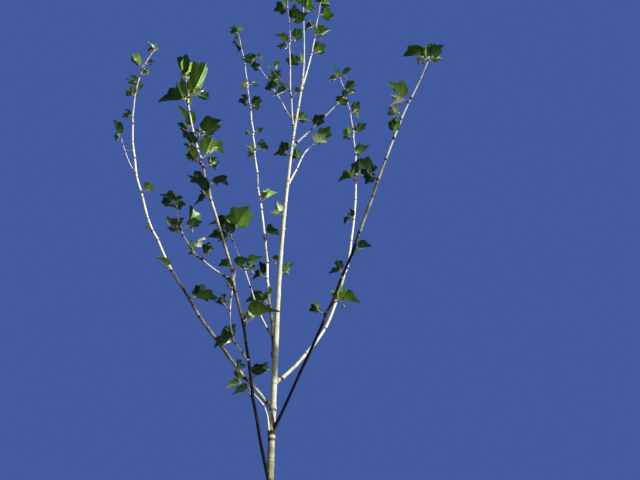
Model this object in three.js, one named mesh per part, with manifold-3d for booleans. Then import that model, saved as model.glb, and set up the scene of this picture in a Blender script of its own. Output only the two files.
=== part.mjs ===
// London plane, a young open tree: one leader, slender boughs and tufts of lobed leaves.
// Millimetres, +Z up. The origin is the middle of the flat cut at ground level.
// +X runs to the viewer's right and +Y away from the viewer.

import * as THREE from 'three';
import { mergeVertices } from 'three/addons/utils/BufferGeometryUtils.js';
import Module from 'manifold-3d';

const wasm = await Module();
wasm.setup();

// Driving dimensions
const treeHeight = 6050;
const trunkFootRadius = 22;
const trunkTipRadius = 2.5;
const trunkTaper = 0.85;
const flareRadius = 14;
const flareHeight = 130;
const limbClearance = 0.35;
const finestEdge = 0.05;

// The trunk's sway to the right and away, at even heights from the ground to the tip
const trunkSwayRight = [0, 5, 4, -5, -6, 26, 84, 70, 48];
const trunkSwayAway = [0, -6, -4, 4, 8, 2, -6, -4, 6];

// Sections and steps of the faceted solids
const trunkSides = 12;
const boughSides = 7;
const twigSides = 3;
const trunkStep = 280;
const boughStep = 210;
const twigStep = 130;

// Leaves and their spurs: lengths and radii in millimetres, angles in degrees, and shares
const bladeThickness = 0.018;
const bladeMiddle = 0.3;
const lobeAngle = 48;
const lobeLoss = 0.5;
const notchDepth = 0.8;
const notchLoss = 0.3;
const lobeDroop = 0.16;
const petioleShare = 0.36;
const petioleRadius = 1.2;
const leastLeaf = 0.72;
const mostLeaf = 1.22;
const spurLength = 40;
const shortestSpur = 0.8;
const longestSpur = 1.3;
const spurRadius = 3.3;
const spurTipShare = 0.8;
const firstSeat = 0.45;
const lastSeat = 0.85;
const spurLean = 58;
const spurLeanRange = 16;
const petioleSpread = 56;
const spreadRange = 40;
const stalkRise = 0.5;
const turnBetweenLeaves = 137.5;
const turnRange = 90;
const riseKept = 0.6;
const leastDroop = -0.5;
const mostDroop = 0.25;
const faceTilt = 0.7;
const triesPerLeaf = 5;

// How far a leaf stays from every limb, from the space of every other mass,
// and, as a share of its own length, from the other leaves of its mass
const clearOfLimb = 20;
const clearOfTwig = 8;
const clearOfSpace = 7;
const clearOfBlade = 0.2;
const twigTests = [0.15, 0.4, 0.7, 1];

const barkMaterial = new THREE.MeshStandardMaterial({ color: 0xb3a988, roughness: 0.85, metalness: 0 });
const boughMaterial = new THREE.MeshStandardMaterial({ color: 0xcfc7a8, roughness: 0.8, metalness: 0 });
const leafMaterial = new THREE.MeshStandardMaterial({ color: 0x5f7f33, roughness: 0.6, metalness: 0 });

// Each limb leaves its carrier at a height and grows by lean and bearing, both read at even steps.
// Lean is from upright, bearing is 0 to the right and 90 away from the viewer.
// bare is the share that is plain bough, split the share where a bent bough is made in two.
// The rest is the stem of the mass at its tip, and a small limb with no bare share is all stem.
// A tuft has a place along the limb, a bearing, a number of leaves and a blade length.
const limbSizes = [
  {
    name: 'far_left', carrier: 'trunk', height: 2190, length: 3380, footRadius: 10, tipRadius: 3.2,
    lean: [44, 37, 31, 22, 14, 5, 12],
    bearing: [169, 170, 171, 170, 168, 160, 15], bare: 0.62, split: 0.34,
    tufts: [[0.055, 20, 4, 100], [0.06, 190, 2, 70], [0.125, 15, 3, 65], [0.225, 5, 4, 100],
      [0.29, 190, 3, 60], [0.39, 180, 2, 50], [0.49, 350, 2, 45]],
    tip: [[0.72, 175, 3, 60], [0.79, 185, 3, 80], [0.84, 165, 4, 85], [0.87, 5, 2, 60],
      [0.91, 180, 3, 70], [0.92, 10, 2, 55], [1, 150, 4, 80]],
  },
  {
    name: 'front_left', carrier: 'trunk', height: 1900, length: 1870, footRadius: 9, tipRadius: 3,
    lean: [30, 27, 25, 27, 28, 24, 18], bearing: [236, 250, 241, 231, 227, 231, 238], bare: 0.59,
    tufts: [[0.18, 190, 2, 55], [0.34, 10, 3, 100], [0.42, 180, 3, 65], [0.47, 15, 3, 65]],
    tip: [[0.65, 185, 2, 75], [0.69, 0, 2, 65], [0.695, 180, 3, 85], [0.74, 10, 2, 60],
      [0.75, 185, 3, 75], [0.76, 350, 2, 100], [0.79, 190, 3, 70], [0.82, 10, 2, 75],
      [0.835, 180, 2, 85], [0.92, 190, 3, 105], [0.94, 345, 3, 105], [1, 130, 3, 100]],
  },
  {
    name: 'back_left', carrier: 'trunk', height: 2395, length: 3440, footRadius: 9.8, tipRadius: 2.6,
    lean: [14, 14, 13, 11, 11, 11, 15], bearing: [122, 126, 135, 138, 146, 152, 165], bare: 0.47,
    tufts: [[0.1, 195, 3, 100], [0.155, 185, 2, 55], [0.19, 0, 2, 55], [0.245, 340, 3, 65],
      [0.34, 340, 3, 70]],
    tip: [[0.49, 185, 3, 80], [0.5, 5, 2, 65], [0.55, 185, 2, 55], [0.56, 0, 2, 50], [0.66, 10, 3, 80],
      [0.67, 190, 2, 70], [0.735, 180, 3, 80], [0.75, 20, 2, 60], [0.85, 10, 3, 85], [0.93, 180, 3, 75],
      [1, 150, 4, 75]],
  },
  {
    name: 'inner_right', carrier: 'trunk', height: 2305, length: 3240, footRadius: 10, tipRadius: 3.2,
    lean: [50, 38, 27, 20, 15, 12, 10, 8, 8, 8, 8, 10, 12],
    bearing: [36, 40, 43, 46, 48, 54, 64, 76, 90, 106, 122, 134, 142], bare: 0.52, split: 0.26,
    tufts: [[0.28, 195, 2, 55], [0.43, 180, 3, 65]],
    tip: [[0.555, 185, 3, 100], [0.57, 350, 4, 100], [0.65, 10, 3, 80], [0.71, 190, 2, 70],
      [0.735, 5, 3, 85], [0.82, 0, 3, 85], [0.88, 190, 3, 75], [0.92, 10, 3, 90], [0.985, 185, 2, 80],
      [1, 10, 2, 85]],
  },
  {
    name: 'far_right', carrier: 'trunk', height: 2095, length: 2020, footRadius: 9.3, tipRadius: 3,
    lean: [36, 33, 30, 28, 26, 31, 25], bearing: [322, 320, 320, 319, 320, 325, 328], bare: 0.57,
    tufts: [[0.27, 190, 2, 45], [0.295, 5, 4, 100], [0.42, 0, 2, 55]],
    tip: [[0.615, 165, 2, 70], [0.73, 275, 2, 80], [0.79, 185, 2, 70], [0.84, 175, 3, 80],
      [0.98, 350, 4, 90], [1, 120, 4, 85]],
  },
  {
    name: 'low_stub', carrier: 'trunk', height: 2045, length: 270, footRadius: 5, tipRadius: 2.4,
    lean: [22, 8, 40, 50], bearing: [200, 220, 190, 175],
    tip: [[0.6, 40, 2, 50], [1, 180, 2, 55]],
  },
  {
    name: 'left_whip', carrier: 'front_left', height: 0.26, length: 430, footRadius: 4, tipRadius: 2,
    lean: [50, 22, 13, 10], bearing: [188, 230, 285, 290],
    tip: [[0.22, 180, 3, 55], [0.55, 190, 3, 50], [1, 160, 2, 50]],
  },
  {
    name: 'left_side', carrier: 'front_left', height: 0.445, length: 500, footRadius: 5, tipRadius: 2.2,
    lean: [66, 50, 30, 8], bearing: [185, 190, 200, 230], bare: 0.3,
    tip: [[0.36, 340, 2, 65], [0.4, 200, 2, 60], [0.53, 70, 2, 60], [0.66, 185, 3, 75],
      [0.72, 10, 3, 70], [1, 150, 4, 80]],
  },
  {
    name: 'middle_side', carrier: 'back_left', height: 0.045, length: 640, footRadius: 5, tipRadius: 2.2,
    lean: [43, 24, 27, 18], bearing: [212, 215, 205, 200], bare: 0.45,
    tip: [[0.58, 20, 3, 70], [0.85, 190, 3, 85], [0.93, 350, 2, 120], [1, 130, 4, 85]],
  },
  {
    name: 'low_right', carrier: 'trunk', height: 3455, length: 720, footRadius: 6.2, tipRadius: 2.5,
    lean: [21, 22, 24, 38], bearing: [60, 60, 56, 42],
    tip: [[0.55, 170, 3, 70], [0.86, 350, 2, 70], [1, 10, 3, 75]],
  },
  {
    name: 'up_right', carrier: 'trunk', height: 3790, length: 540, footRadius: 6.4, tipRadius: 2.5,
    lean: [40, 42, 40, 36], bearing: [350, 348, 348, 350],
    tip: [[0.34, 330, 4, 80], [0.6, 110, 2, 55], [0.8, 350, 2, 60], [1, 20, 2, 55]],
  },
  {
    name: 'up_left', carrier: 'trunk', height: 3965, length: 1220, footRadius: 6.4, tipRadius: 2.4,
    lean: [20, 23, 24, 23], bearing: [135, 138, 143, 144], bare: 0.42,
    tip: [[0.47, 190, 2, 60], [0.62, 0, 3, 75], [0.84, 190, 2, 65], [1, 150, 4, 80]],
  },
  {
    name: 'up_front', carrier: 'trunk', height: 3935, length: 1130, footRadius: 6.4, tipRadius: 2.4,
    lean: [18, 15, 14, 13, 14], bearing: [238, 262, 262, 255, 250], bare: 0.34,
    tufts: [[0.23, 350, 3, 80], [0.27, 190, 3, 80]],
    tip: [[0.6, 180, 4, 80], [0.64, 10, 2, 60], [0.78, 340, 3, 75], [0.9, 180, 3, 75], [1, 20, 4, 80]],
  },
  {
    name: 'front_whip', carrier: 'up_front', height: 0.29, length: 440, footRadius: 3.5, tipRadius: 1.8,
    lean: [40, 34, 31, 36], bearing: [180, 182, 178, 175],
    tip: [[0.55, 0, 2, 55], [1, 100, 3, 60]],
  },
  {
    name: 'top_right', carrier: 'trunk', height: 4340, length: 1500, footRadius: 6.8, tipRadius: 2.5,
    lean: [13, 11, 9, 8, 8], bearing: [52, 55, 62, 62, 60], bare: 0.33,
    tip: [[0.37, 10, 3, 80], [0.56, 350, 4, 85], [0.66, 190, 2, 70], [0.82, 10, 4, 85], [1, 60, 4, 80]],
  },
  {
    name: 'left_shoot', carrier: 'far_left', height: 0.545, length: 360, footRadius: 3.4, tipRadius: 1.8,
    lean: [40, 30, 24, 18], bearing: [186, 186, 184, 180],
    tip: [[0.62, 10, 1, 40], [1, 170, 3, 75]],
  },
];

// A limb is whole and without side tufts where its sizes say nothing else
const limbs = limbSizes.map((sizes) => ({ bare: 0, split: 0, tufts: [], ...sizes }));

// Tufts that sit on the trunk itself, by height, and the last ones round its tip
const trunkTufts = [
  [2180, 350, 2, 55], [2880, 10, 3, 50], [3250, 195, 3, 50], [3720, 190, 3, 65], [4050, 50, 4, 70],
  [4400, 350, 3, 85], [4620, 195, 4, 85], [5320, 30, 4, 95], [5560, 200, 4, 95],
  [5800, 330, 4, 90], [6020, 170, 5, 85],
];

// Seeded draws between 0 and 1
const drawFactor = 1664525;
const drawStep = 1013904223;
const drawSpan = 4294967296;
const drawsThrownAway = 4;

function seededDraws(seed) {
  let state = seed;
  const draw = () => {
    state = (Math.imul(state, drawFactor) + drawStep) >>> 0;
    return state / drawSpan;
  };
  for (let i = 0; i < drawsThrownAway; i += 1) draw();
  return draw;
}

// Small helpers
const up = new THREE.Vector3(0, 0, 1);
const radians = THREE.MathUtils.degToRad;
const shareOf = (low, high, t) => low + (high - low) * t;

function atEvenSteps(values, t) {
  const place = Math.min(Math.max(t, 0), 1) * (values.length - 1);
  const index = Math.min(Math.floor(place), values.length - 2);
  return shareOf(values[index], values[index + 1], place - index);
}

function heading(bearing, lean) {
  const flat = Math.sin(radians(lean));
  return new THREE.Vector3(
    Math.cos(radians(bearing)) * flat,
    Math.sin(radians(bearing)) * flat,
    Math.cos(radians(lean)),
  );
}

// A line of points that growing legs of lean and bearing trace from a foot
const stepsPerLimb = 48;

function grownLine(foot, limb) {
  const points = [foot.clone()];
  const leg = limb.length / stepsPerLimb;
  for (let i = 0; i < stepsPerLimb; i += 1) {
    const t = (i + 0.5) / stepsPerLimb;
    const ahead = heading(atEvenSteps(limb.bearing, t), atEvenSteps(limb.lean, t));
    points.push(points[i].clone().addScaledVector(ahead, leg));
  }
  return points;
}

function trunkLine() {
  const points = [];
  const count = trunkSwayRight.length - 1;
  for (let i = 0; i <= count; i += 1) {
    points.push(new THREE.Vector3(trunkSwayRight[i], trunkSwayAway[i], (treeHeight * i) / count));
  }
  const curve = new THREE.CatmullRomCurve3(points);
  const line = curve.getSpacedPoints(stepsPerLimb * 2);
  line[1].x = line[0].x;
  line[1].y = line[0].y;
  return line;
}

const lineLength = (line) => line[0].distanceTo(line[1]) * (line.length - 1);

function pointOn(line, t) {
  const place = Math.min(Math.max(t, 0), 1) * (line.length - 1);
  const index = Math.min(Math.floor(place), line.length - 2);
  return line[index].clone().lerp(line[index + 1], place - index);
}

// The trunk's radius at a share of its height, with the flare at its foot
function trunkRadius(t) {
  const taper = shareOf(trunkFootRadius, trunkTipRadius, t ** trunkTaper);
  return taper + flareRadius * Math.exp((-t * treeHeight) / flareHeight);
}

function limbRadius(limb, t) {
  return shareOf(limb.footRadius, limb.tipRadius, t);
}

// A closed tapering limb: a capped cylinder whose rings are set square to the line
const tangentReach = 1e-3;

function taperedSolid(line, radiusAt, sides, from, to, steps) {
  const geometry = new THREE.CylinderGeometry(1, 1, 1, sides, steps, false);
  geometry.deleteAttribute('normal');
  geometry.deleteAttribute('uv');
  const merged = mergeVertices(geometry);
  const position = merged.getAttribute('position');
  const vertex = new THREE.Vector3();
  for (let i = 0; i < position.count; i += 1) {
    vertex.fromBufferAttribute(position, i);
    const t = shareOf(from, to, vertex.y + 0.5);
    const along = pointOn(line, t + tangentReach).sub(pointOn(line, t - tangentReach)).normalize();
    const sideways = new THREE.Vector3(1, 0, 0).addScaledVector(along, -along.x).normalize();
    const across = new THREE.Vector3().crossVectors(sideways, along);
    const radius = radiusAt(t);
    const place = pointOn(line, t);
    place.addScaledVector(sideways, vertex.x * radius);
    place.addScaledVector(across, vertex.z * radius);
    position.setXYZ(i, place.x, place.y, place.z);
  }
  return solidOf(merged);
}

function solidOf(geometry) {
  return new wasm.Manifold(new wasm.Mesh({
    numProp: 3,
    vertProperties: new Float32Array(geometry.getAttribute('position').array),
    triVerts: new Uint32Array(geometry.index.array),
  }));
}

// One straight three-sided twig
function twigSolid(start, end, startRadius, endRadius) {
  return taperedSolid([start, end], (t) => shareOf(startRadius, endRadius, t), twigSides, 0, 1, 1);
}

// The blade's rim: five lobes with notches between them, open where the leaf stalk comes in
const lobesASide = 2;

function bladeRim() {
  const rim = [];
  for (let i = -2 * lobesASide; i <= 2 * lobesASide; i += 1) {
    const turn = (i * lobeAngle) / 2;
    const away = Math.abs(i) / (2 * lobesASide);
    const isNotch = i % 2 !== 0;
    const reach = isNotch ? notchDepth - notchLoss * away : 1 - lobeLoss * away * away;
    rim.push([reach * Math.sin(radians(turn)), reach * Math.cos(radians(turn))]);
  }
  return rim;
}

const rim = bladeRim();

// A leaf's points in place: the rim first, then the middle above and below
function bladePoints(leaf) {
  const sideways = new THREE.Vector3().crossVectors(leaf.ahead, leaf.face);
  const place = (x, y, rise) => leaf.hub.clone()
    .addScaledVector(sideways, x * leaf.size)
    .addScaledVector(leaf.ahead, y * leaf.size)
    .addScaledVector(leaf.face, rise * leaf.size);
  const points = rim.map(([x, y]) => place(x, y, -lobeDroop * (x * x + y * y)));
  points.push(place(0, bladeMiddle, bladeThickness / 2));
  points.push(place(0, bladeMiddle, -bladeThickness / 2));
  return points;
}

// The three corners of a leaf stalk's end: right, left and lower
const stalkSection = [[1, 0.5], [-1, 0.5], [0, -1]];

function stalkCorners(centre, ahead, face) {
  const sideways = new THREE.Vector3().crossVectors(ahead, face).normalize();
  const upward = new THREE.Vector3().crossVectors(sideways, ahead).normalize();
  return stalkSection.map(([x, z]) => centre.clone()
    .addScaledVector(sideways, x * petioleRadius)
    .addScaledVector(upward, z * petioleRadius));
}

// A leaf is one closed body: the blade's upper and lower fans, and the stalk that runs into them
function leafSolid(leaf) {
  const count = rim.length;
  const [upper, lower, right, left, keel, rightFoot, leftFoot, keelFoot] = [0, 1, 2, 3, 4, 5, 6, 7]
    .map((step) => count + step);
  const stalk = leaf.hub.clone().sub(leaf.start).normalize();
  const points = [
    ...bladePoints(leaf),
    ...stalkCorners(leaf.hub, leaf.ahead, leaf.face),
    ...stalkCorners(leaf.start, stalk, leaf.face),
  ];
  const faces = [];
  for (let i = 0; i < count - 1; i += 1) {
    faces.push(upper, i + 1, i, lower, i, i + 1);
  }
  const last = count - 1;
  faces.push(upper, right, last, upper, left, right, upper, 0, left);
  faces.push(lower, last, right, lower, right, keel, lower, keel, left, lower, left, 0);
  faces.push(left, leftFoot, rightFoot, left, rightFoot, right);
  faces.push(right, rightFoot, keelFoot, right, keelFoot, keel);
  faces.push(keel, keelFoot, leftFoot, keel, leftFoot, left);
  faces.push(leftFoot, keelFoot, rightFoot);
  const geometry = new THREE.BufferGeometry().setFromPoints(points);
  geometry.setIndex(faces);
  return solidOf(geometry);
}

// The tuft's spur: a short twig that leans out from its limb
function growSpur(place, bearing, draw) {
  const along = heading(bearing, spurLean + spurLeanRange * (draw() - 0.5));
  const length = spurLength * shareOf(shortestSpur, longestSpur, draw());
  const sideways = new THREE.Vector3().crossVectors(along, up).normalize();
  const across = new THREE.Vector3().crossVectors(along, sideways);
  const foot = place.clone();
  return { foot, end: foot.clone().addScaledVector(along, length), along, sideways, across };
}

// One try at a leaf of the tuft: its stalk turns about the spur, its blade rises or droops a little
function growLeaf(spur, index, leafCount, size, draw) {
  const turn = radians(turnBetweenLeaves * index + turnRange * draw());
  const spread = radians(petioleSpread + spreadRange * (draw() - 0.5));
  const leafSize = size * shareOf(leastLeaf, mostLeaf, draw());
  const start = spur.foot.clone().lerp(spur.end, shareOf(firstSeat, lastSeat, (index + 1) / leafCount));
  const stalk = spur.along.clone().multiplyScalar(Math.cos(spread))
    .addScaledVector(spur.sideways, Math.sin(spread) * Math.cos(turn))
    .addScaledVector(spur.across, Math.sin(spread) * Math.sin(turn));
  stalk.z += stalkRise;
  stalk.normalize();
  const hub = start.clone().addScaledVector(stalk, leafSize * petioleShare);
  const droop = shareOf(leastDroop, mostDroop, draw());
  const ahead = new THREE.Vector3(stalk.x, stalk.y, stalk.z * riseKept - droop).normalize();
  const face = new THREE.Vector3(faceTilt * (draw() - 0.5), faceTilt * (draw() - 0.5), 1);
  face.addScaledVector(ahead, -face.dot(ahead)).normalize();
  return { start, hub, ahead, face, size: leafSize };
}

// Skeleton: the trunk's line, then each limb's line from the place on its carrier
const lines = { trunk: trunkLine() };
const radiusAlong = { trunk: trunkRadius };
for (const limb of limbs) {
  const share = limb.carrier === 'trunk' ? limb.height / treeHeight : limb.height;
  lines[limb.name] = grownLine(pointOn(lines[limb.carrier], share), limb);
  radiusAlong[limb.name] = (t) => limbRadius(limb, t);
}

// Balls along every limb, which leaves stay clear of
const ballsPerLimb = 130;

function limbBalls() {
  const balls = [];
  for (const [name, line] of Object.entries(lines)) {
    for (let i = 0; i <= ballsPerLimb; i += 1) {
      const t = i / ballsPerLimb;
      balls.push({ limb: name, centre: pointOn(line, t), radius: radiusAlong[name](t) });
    }
  }
  return balls;
}

// The masses: side tufts with a stem on bare wood, and tip masses that go on from the bare bough
const firstSeed = 1035;
const massSeedStep = 7919;
const tuftSeedStep = 631;
const leafSeedStep = 53;
const trySeedStep = 7;

function listMasses() {
  const masses = [];
  const add = (name, limb, stem, seat, tuftSizes) => {
    const seed = firstSeed + massSeedStep * masses.length;
    const tufts = tuftSizes.map(([t, bearing, leafCount, size], i) => {
      const tuftSeed = seed + tuftSeedStep * i;
      const spur = growSpur(pointOn(lines[limb], t), bearing, seededDraws(tuftSeed));
      return { spur, leafCount, size, seed: tuftSeed };
    });
    masses.push({ name, limb, stem, seat, tufts });
  };
  trunkTufts.forEach(([height, ...rest], i) => {
    add(`leaves_trunk_${i + 1}`, 'trunk', null, 'trunk', [[height / treeHeight, ...rest]]);
  });
  for (const limb of limbs) {
    limb.tufts.forEach((tuft, i) => {
      add(`leaves_${limb.name}_${i + 1}`, limb.name, null, limb.name, [tuft]);
    });
    const seat = limb.bare > 0 ? null : limb.carrier;
    add(`leaves_${limb.name}_tip`, limb.name, { from: limb.bare, to: 1 }, seat, limb.tip);
  }
  return masses;
}

// Anchors of a mass: the points whose nearness makes its own space
const anchorStep = 60;
const anchorReach = 0.8;

function anchorsOf(mass) {
  const anchors = [];
  for (const { spur } of mass.tufts) {
    anchors.push(spur.foot.clone().lerp(spur.end, 0.5));
    anchors.push(spur.end);
    anchors.push(spur.foot.clone().lerp(spur.end, 1 + anchorReach));
  }
  if (mass.stem) {
    const line = lines[mass.limb];
    const length = lineLength(line) * (mass.stem.to - mass.stem.from);
    const count = Math.ceil(length / anchorStep);
    for (let i = 0; i <= count; i += 1) {
      anchors.push(pointOn(line, shareOf(mass.stem.from, mass.stem.to, i / count)));
    }
  }
  return anchors;
}

const nearest = (point, anchors) => Math.min(...anchors.map((anchor) => anchor.distanceTo(point)));

const nearBall = (point, balls, gap) => (
  balls.some((ball) => ball.centre.distanceTo(point) < ball.radius + gap));

function inOwnSpace(point, mass, masses) {
  const own = nearest(point, mass.anchors);
  return !masses.some((other) => other !== mass && nearest(point, other.anchors) < own + clearOfSpace);
}

// Points spread over a blade: its middle, its rim and half-way between them
function bladeTests(leaf) {
  const points = bladePoints(leaf);
  const middle = points[rim.length];
  const edge = points.slice(0, rim.length);
  return [leaf.hub, middle, ...edge, ...edge.map((point) => middle.clone().lerp(point, 0.5))];
}

// A spur or leaf stalk stays clear of the other limbs, and in its mass's space
function twigFits(start, end, mass, masses, balls) {
  const others = balls.filter((ball) => ball.limb !== mass.limb);
  return twigTests.every((share) => {
    const test = start.clone().lerp(end, share);
    return !nearBall(test, others, clearOfTwig) && inOwnSpace(test, mass, masses);
  });
}

// A blade stays clear of every limb and of the mass's other blades, and in its mass's space
function bladeFits(tests, size, kept, mass, masses, balls) {
  const gap = size * clearOfBlade;
  const crosses = kept.some((other) => other.tests.some((point) => nearest(point, tests) < gap));
  return !crosses && tests.every((test) => (
    !nearBall(test, balls, clearOfLimb) && inOwnSpace(test, mass, masses)));
}

// Every tuft of a mass with the leaves that found room, each within a few tries
function growMass(mass, masses, balls) {
  const kept = [];
  for (const tuft of mass.tufts) {
    tuft.leaves = [];
    if (!twigFits(tuft.spur.foot, tuft.spur.end, mass, masses, balls)) continue;
    for (let i = 0; i < tuft.leafCount; i += 1) {
      for (let j = 0; j < triesPerLeaf; j += 1) {
        const draw = seededDraws(tuft.seed + leafSeedStep * (i + 1) + trySeedStep * j);
        const leaf = growLeaf(tuft.spur, i, tuft.leafCount, tuft.size, draw);
        const tests = bladeTests(leaf);
        if (!bladeFits(tests, leaf.size, kept, mass, masses, balls)) continue;
        if (!twigFits(leaf.start, leaf.hub, mass, masses, balls)) continue;
        kept.push({ tests });
        tuft.leaves.push(leaf);
        break;
      }
    }
  }
}

// A cut or joined solid becomes one body: loose scraps are dropped, sealed hollows filled,
// and edges finer than the finest one closed up
function largestBody(solid) {
  const bodies = solid.decompose();
  const largest = bodies.reduce((best, body) => (body.volume() > best.volume() ? body : best));
  return largest.simplify(finestEdge);
}

function massSolid(mass) {
  const parts = [];
  if (mass.stem) {
    const line = lines[mass.limb];
    const length = lineLength(line);
    const from = mass.seat ? 0 : mass.stem.from + limbClearance / length;
    const steps = Math.ceil(((mass.stem.to - from) * length) / twigStep);
    parts.push(taperedSolid(line, radiusAlong[mass.limb], twigSides, from, mass.stem.to, steps));
  }
  for (const { spur, leaves } of mass.tufts.filter((tuft) => tuft.leaves.length > 0)) {
    parts.push(twigSolid(spur.foot, spur.end, spurRadius, spurRadius * spurTipShare));
    for (const leaf of leaves) parts.push(leafSolid(leaf));
  }
  if (parts.length === 0) return null;
  const solid = wasm.Manifold.union(parts);
  return largestBody(mass.seat ? solid.subtract(thickerLimb(mass.seat)) : solid);
}

// The stretches of bare wood that a limb is made in: the trunk is whole, a bent bough is in two
function stretchesOf(name) {
  if (name === 'trunk') {
    return [{ node: 'trunk', from: 0, to: 1, steps: Math.ceil(treeHeight / trunkStep), sides: trunkSides }];
  }
  const limb = limbs.find((each) => each.name === name);
  const cuts = limb.split ? [0, limb.split, limb.bare] : [0, limb.bare];
  const endings = limb.split ? ['_low', '_high'] : [''];
  return endings.map((ending, i) => {
    const from = cuts[i] + (i > 0 ? limbClearance / limb.length : 0);
    const steps = Math.ceil(((cuts[i + 1] - from) * limb.length) / boughStep);
    return { node: `bough_${name}${ending}`, from, to: cuts[i + 1], steps, sides: boughSides };
  });
}

function stretchSolid(name, stretch, extra) {
  const radiusAt = (t) => radiusAlong[name](t) + extra;
  return taperedSolid(lines[name], radiusAt, stretch.sides, stretch.from, stretch.to, stretch.steps);
}

// A limb's wood made thicker by the clearance, to cut what meets it
const thickerLimbs = {};

function thickerLimb(name) {
  if (!thickerLimbs[name]) {
    const solids = stretchesOf(name).map((stretch) => stretchSolid(name, stretch, limbClearance));
    thickerLimbs[name] = wasm.Manifold.union(solids);
  }
  return thickerLimbs[name];
}

// Named mesh from a solid
const group = new THREE.Group();

function addNode(name, solid, material) {
  const mesh = solid.getMesh();
  const geometry = new THREE.BufferGeometry();
  geometry.setAttribute('position', new THREE.BufferAttribute(new Float32Array(mesh.vertProperties), 3));
  geometry.setIndex(new THREE.BufferAttribute(new Uint32Array(mesh.triVerts), 1));
  const node = new THREE.Mesh(geometry, material);
  node.name = name;
  group.add(node);
}

function addLimb(name, carrier, material) {
  stretchesOf(name).forEach((stretch, i) => {
    let solid = stretchSolid(name, stretch, 0);
    if (carrier && i === 0) solid = largestBody(solid.subtract(thickerLimb(carrier)));
    addNode(stretch.node, solid, material);
  });
}

function addMasses() {
  const masses = listMasses();
  const balls = limbBalls();
  for (const mass of masses) mass.anchors = anchorsOf(mass);
  for (const mass of masses) {
    growMass(mass, masses, balls);
    const solid = massSolid(mass);
    if (solid) addNode(mass.name, solid, leafMaterial);
  }
}

addLimb('trunk', null, barkMaterial);
for (const limb of limbs.filter((each) => each.bare > 0)) addLimb(limb.name, limb.carrier, boughMaterial);
addMasses();

export default group;
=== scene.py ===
"""A young london plane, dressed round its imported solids, in metres and +Z up.

The trunk, the boughs and every tuft grow again by the rule of the part's source. Bark with relief,
finer twigs and lobed leaves then take the places of the plain solids.
"""

from __future__ import annotations

import logging
import math
from collections.abc import Callable
from dataclasses import dataclass, field, replace
from enum import IntEnum

import bpy
import numpy as np
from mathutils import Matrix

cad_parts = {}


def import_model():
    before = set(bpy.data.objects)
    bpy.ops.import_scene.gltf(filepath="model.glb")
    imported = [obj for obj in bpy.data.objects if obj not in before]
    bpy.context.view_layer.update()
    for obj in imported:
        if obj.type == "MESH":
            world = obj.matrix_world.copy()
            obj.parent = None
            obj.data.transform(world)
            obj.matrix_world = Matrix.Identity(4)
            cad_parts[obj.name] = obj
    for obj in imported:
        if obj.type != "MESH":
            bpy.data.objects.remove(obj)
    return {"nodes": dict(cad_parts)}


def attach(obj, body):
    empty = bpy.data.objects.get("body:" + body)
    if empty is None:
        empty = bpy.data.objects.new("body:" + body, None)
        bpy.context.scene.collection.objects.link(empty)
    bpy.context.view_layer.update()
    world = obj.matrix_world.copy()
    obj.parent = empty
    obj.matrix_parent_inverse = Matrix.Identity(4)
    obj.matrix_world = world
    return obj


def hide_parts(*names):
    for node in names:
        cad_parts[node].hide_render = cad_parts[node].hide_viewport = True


LOG = logging.getLogger("plane_tree")

Vector = np.ndarray
Numbers = float | np.ndarray

UP = np.array([0.0, 0.0, 1.0])
LEVEL = np.array([1.0, 1.0, 0.0])
BODY = "root"


class Tint(IntEnum):
    """The tint of a spray of leaves. DEEP_AND_SHADED is a dark green that also paints shade on the leaves,
    and FRESH_AND_LIT a yellow-green that also paints the glow of leaves that the sun shines through.
    """

    DEEP_AND_SHADED = 0
    MID = 1
    FRESH_AND_LIT = 2
    PALE = 3


DEEP_AND_SHADED, MID, FRESH_AND_LIT, PALE = Tint
TuftSize = tuple[float, float, int, float, Tint]


# Sizes of the trunk and the limbs, as in the part's source


@dataclass(frozen=True)
class LimbSize:
    """One limb. Its seat is a height on the trunk in metres, or a share of the bough that carries it.

    Lean is from upright and bearing is 0 to the right and 90 away from the viewer, both in degrees
    and read at even steps. The share called bare is plain bough, and the rest bears the tip's tufts.
    A tuft has a place along the limb, a bearing, a number of leaves, a blade length and a tint.
    """

    name: str
    carrier: str
    seat: float
    length: float
    foot_radius: float
    tip_radius: float
    lean: tuple[float, ...]
    bearing: tuple[float, ...]
    bare: float = 0.0
    tufts: tuple[TuftSize, ...] = ()
    tip: tuple[TuftSize, ...] = ()


# Each tuft's tint is partly painted light: DEEP_AND_SHADED sprays stand dark where the leaves lie in shade,
# and FRESH_AND_LIT sprays glow where the sun shines through them.
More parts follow.
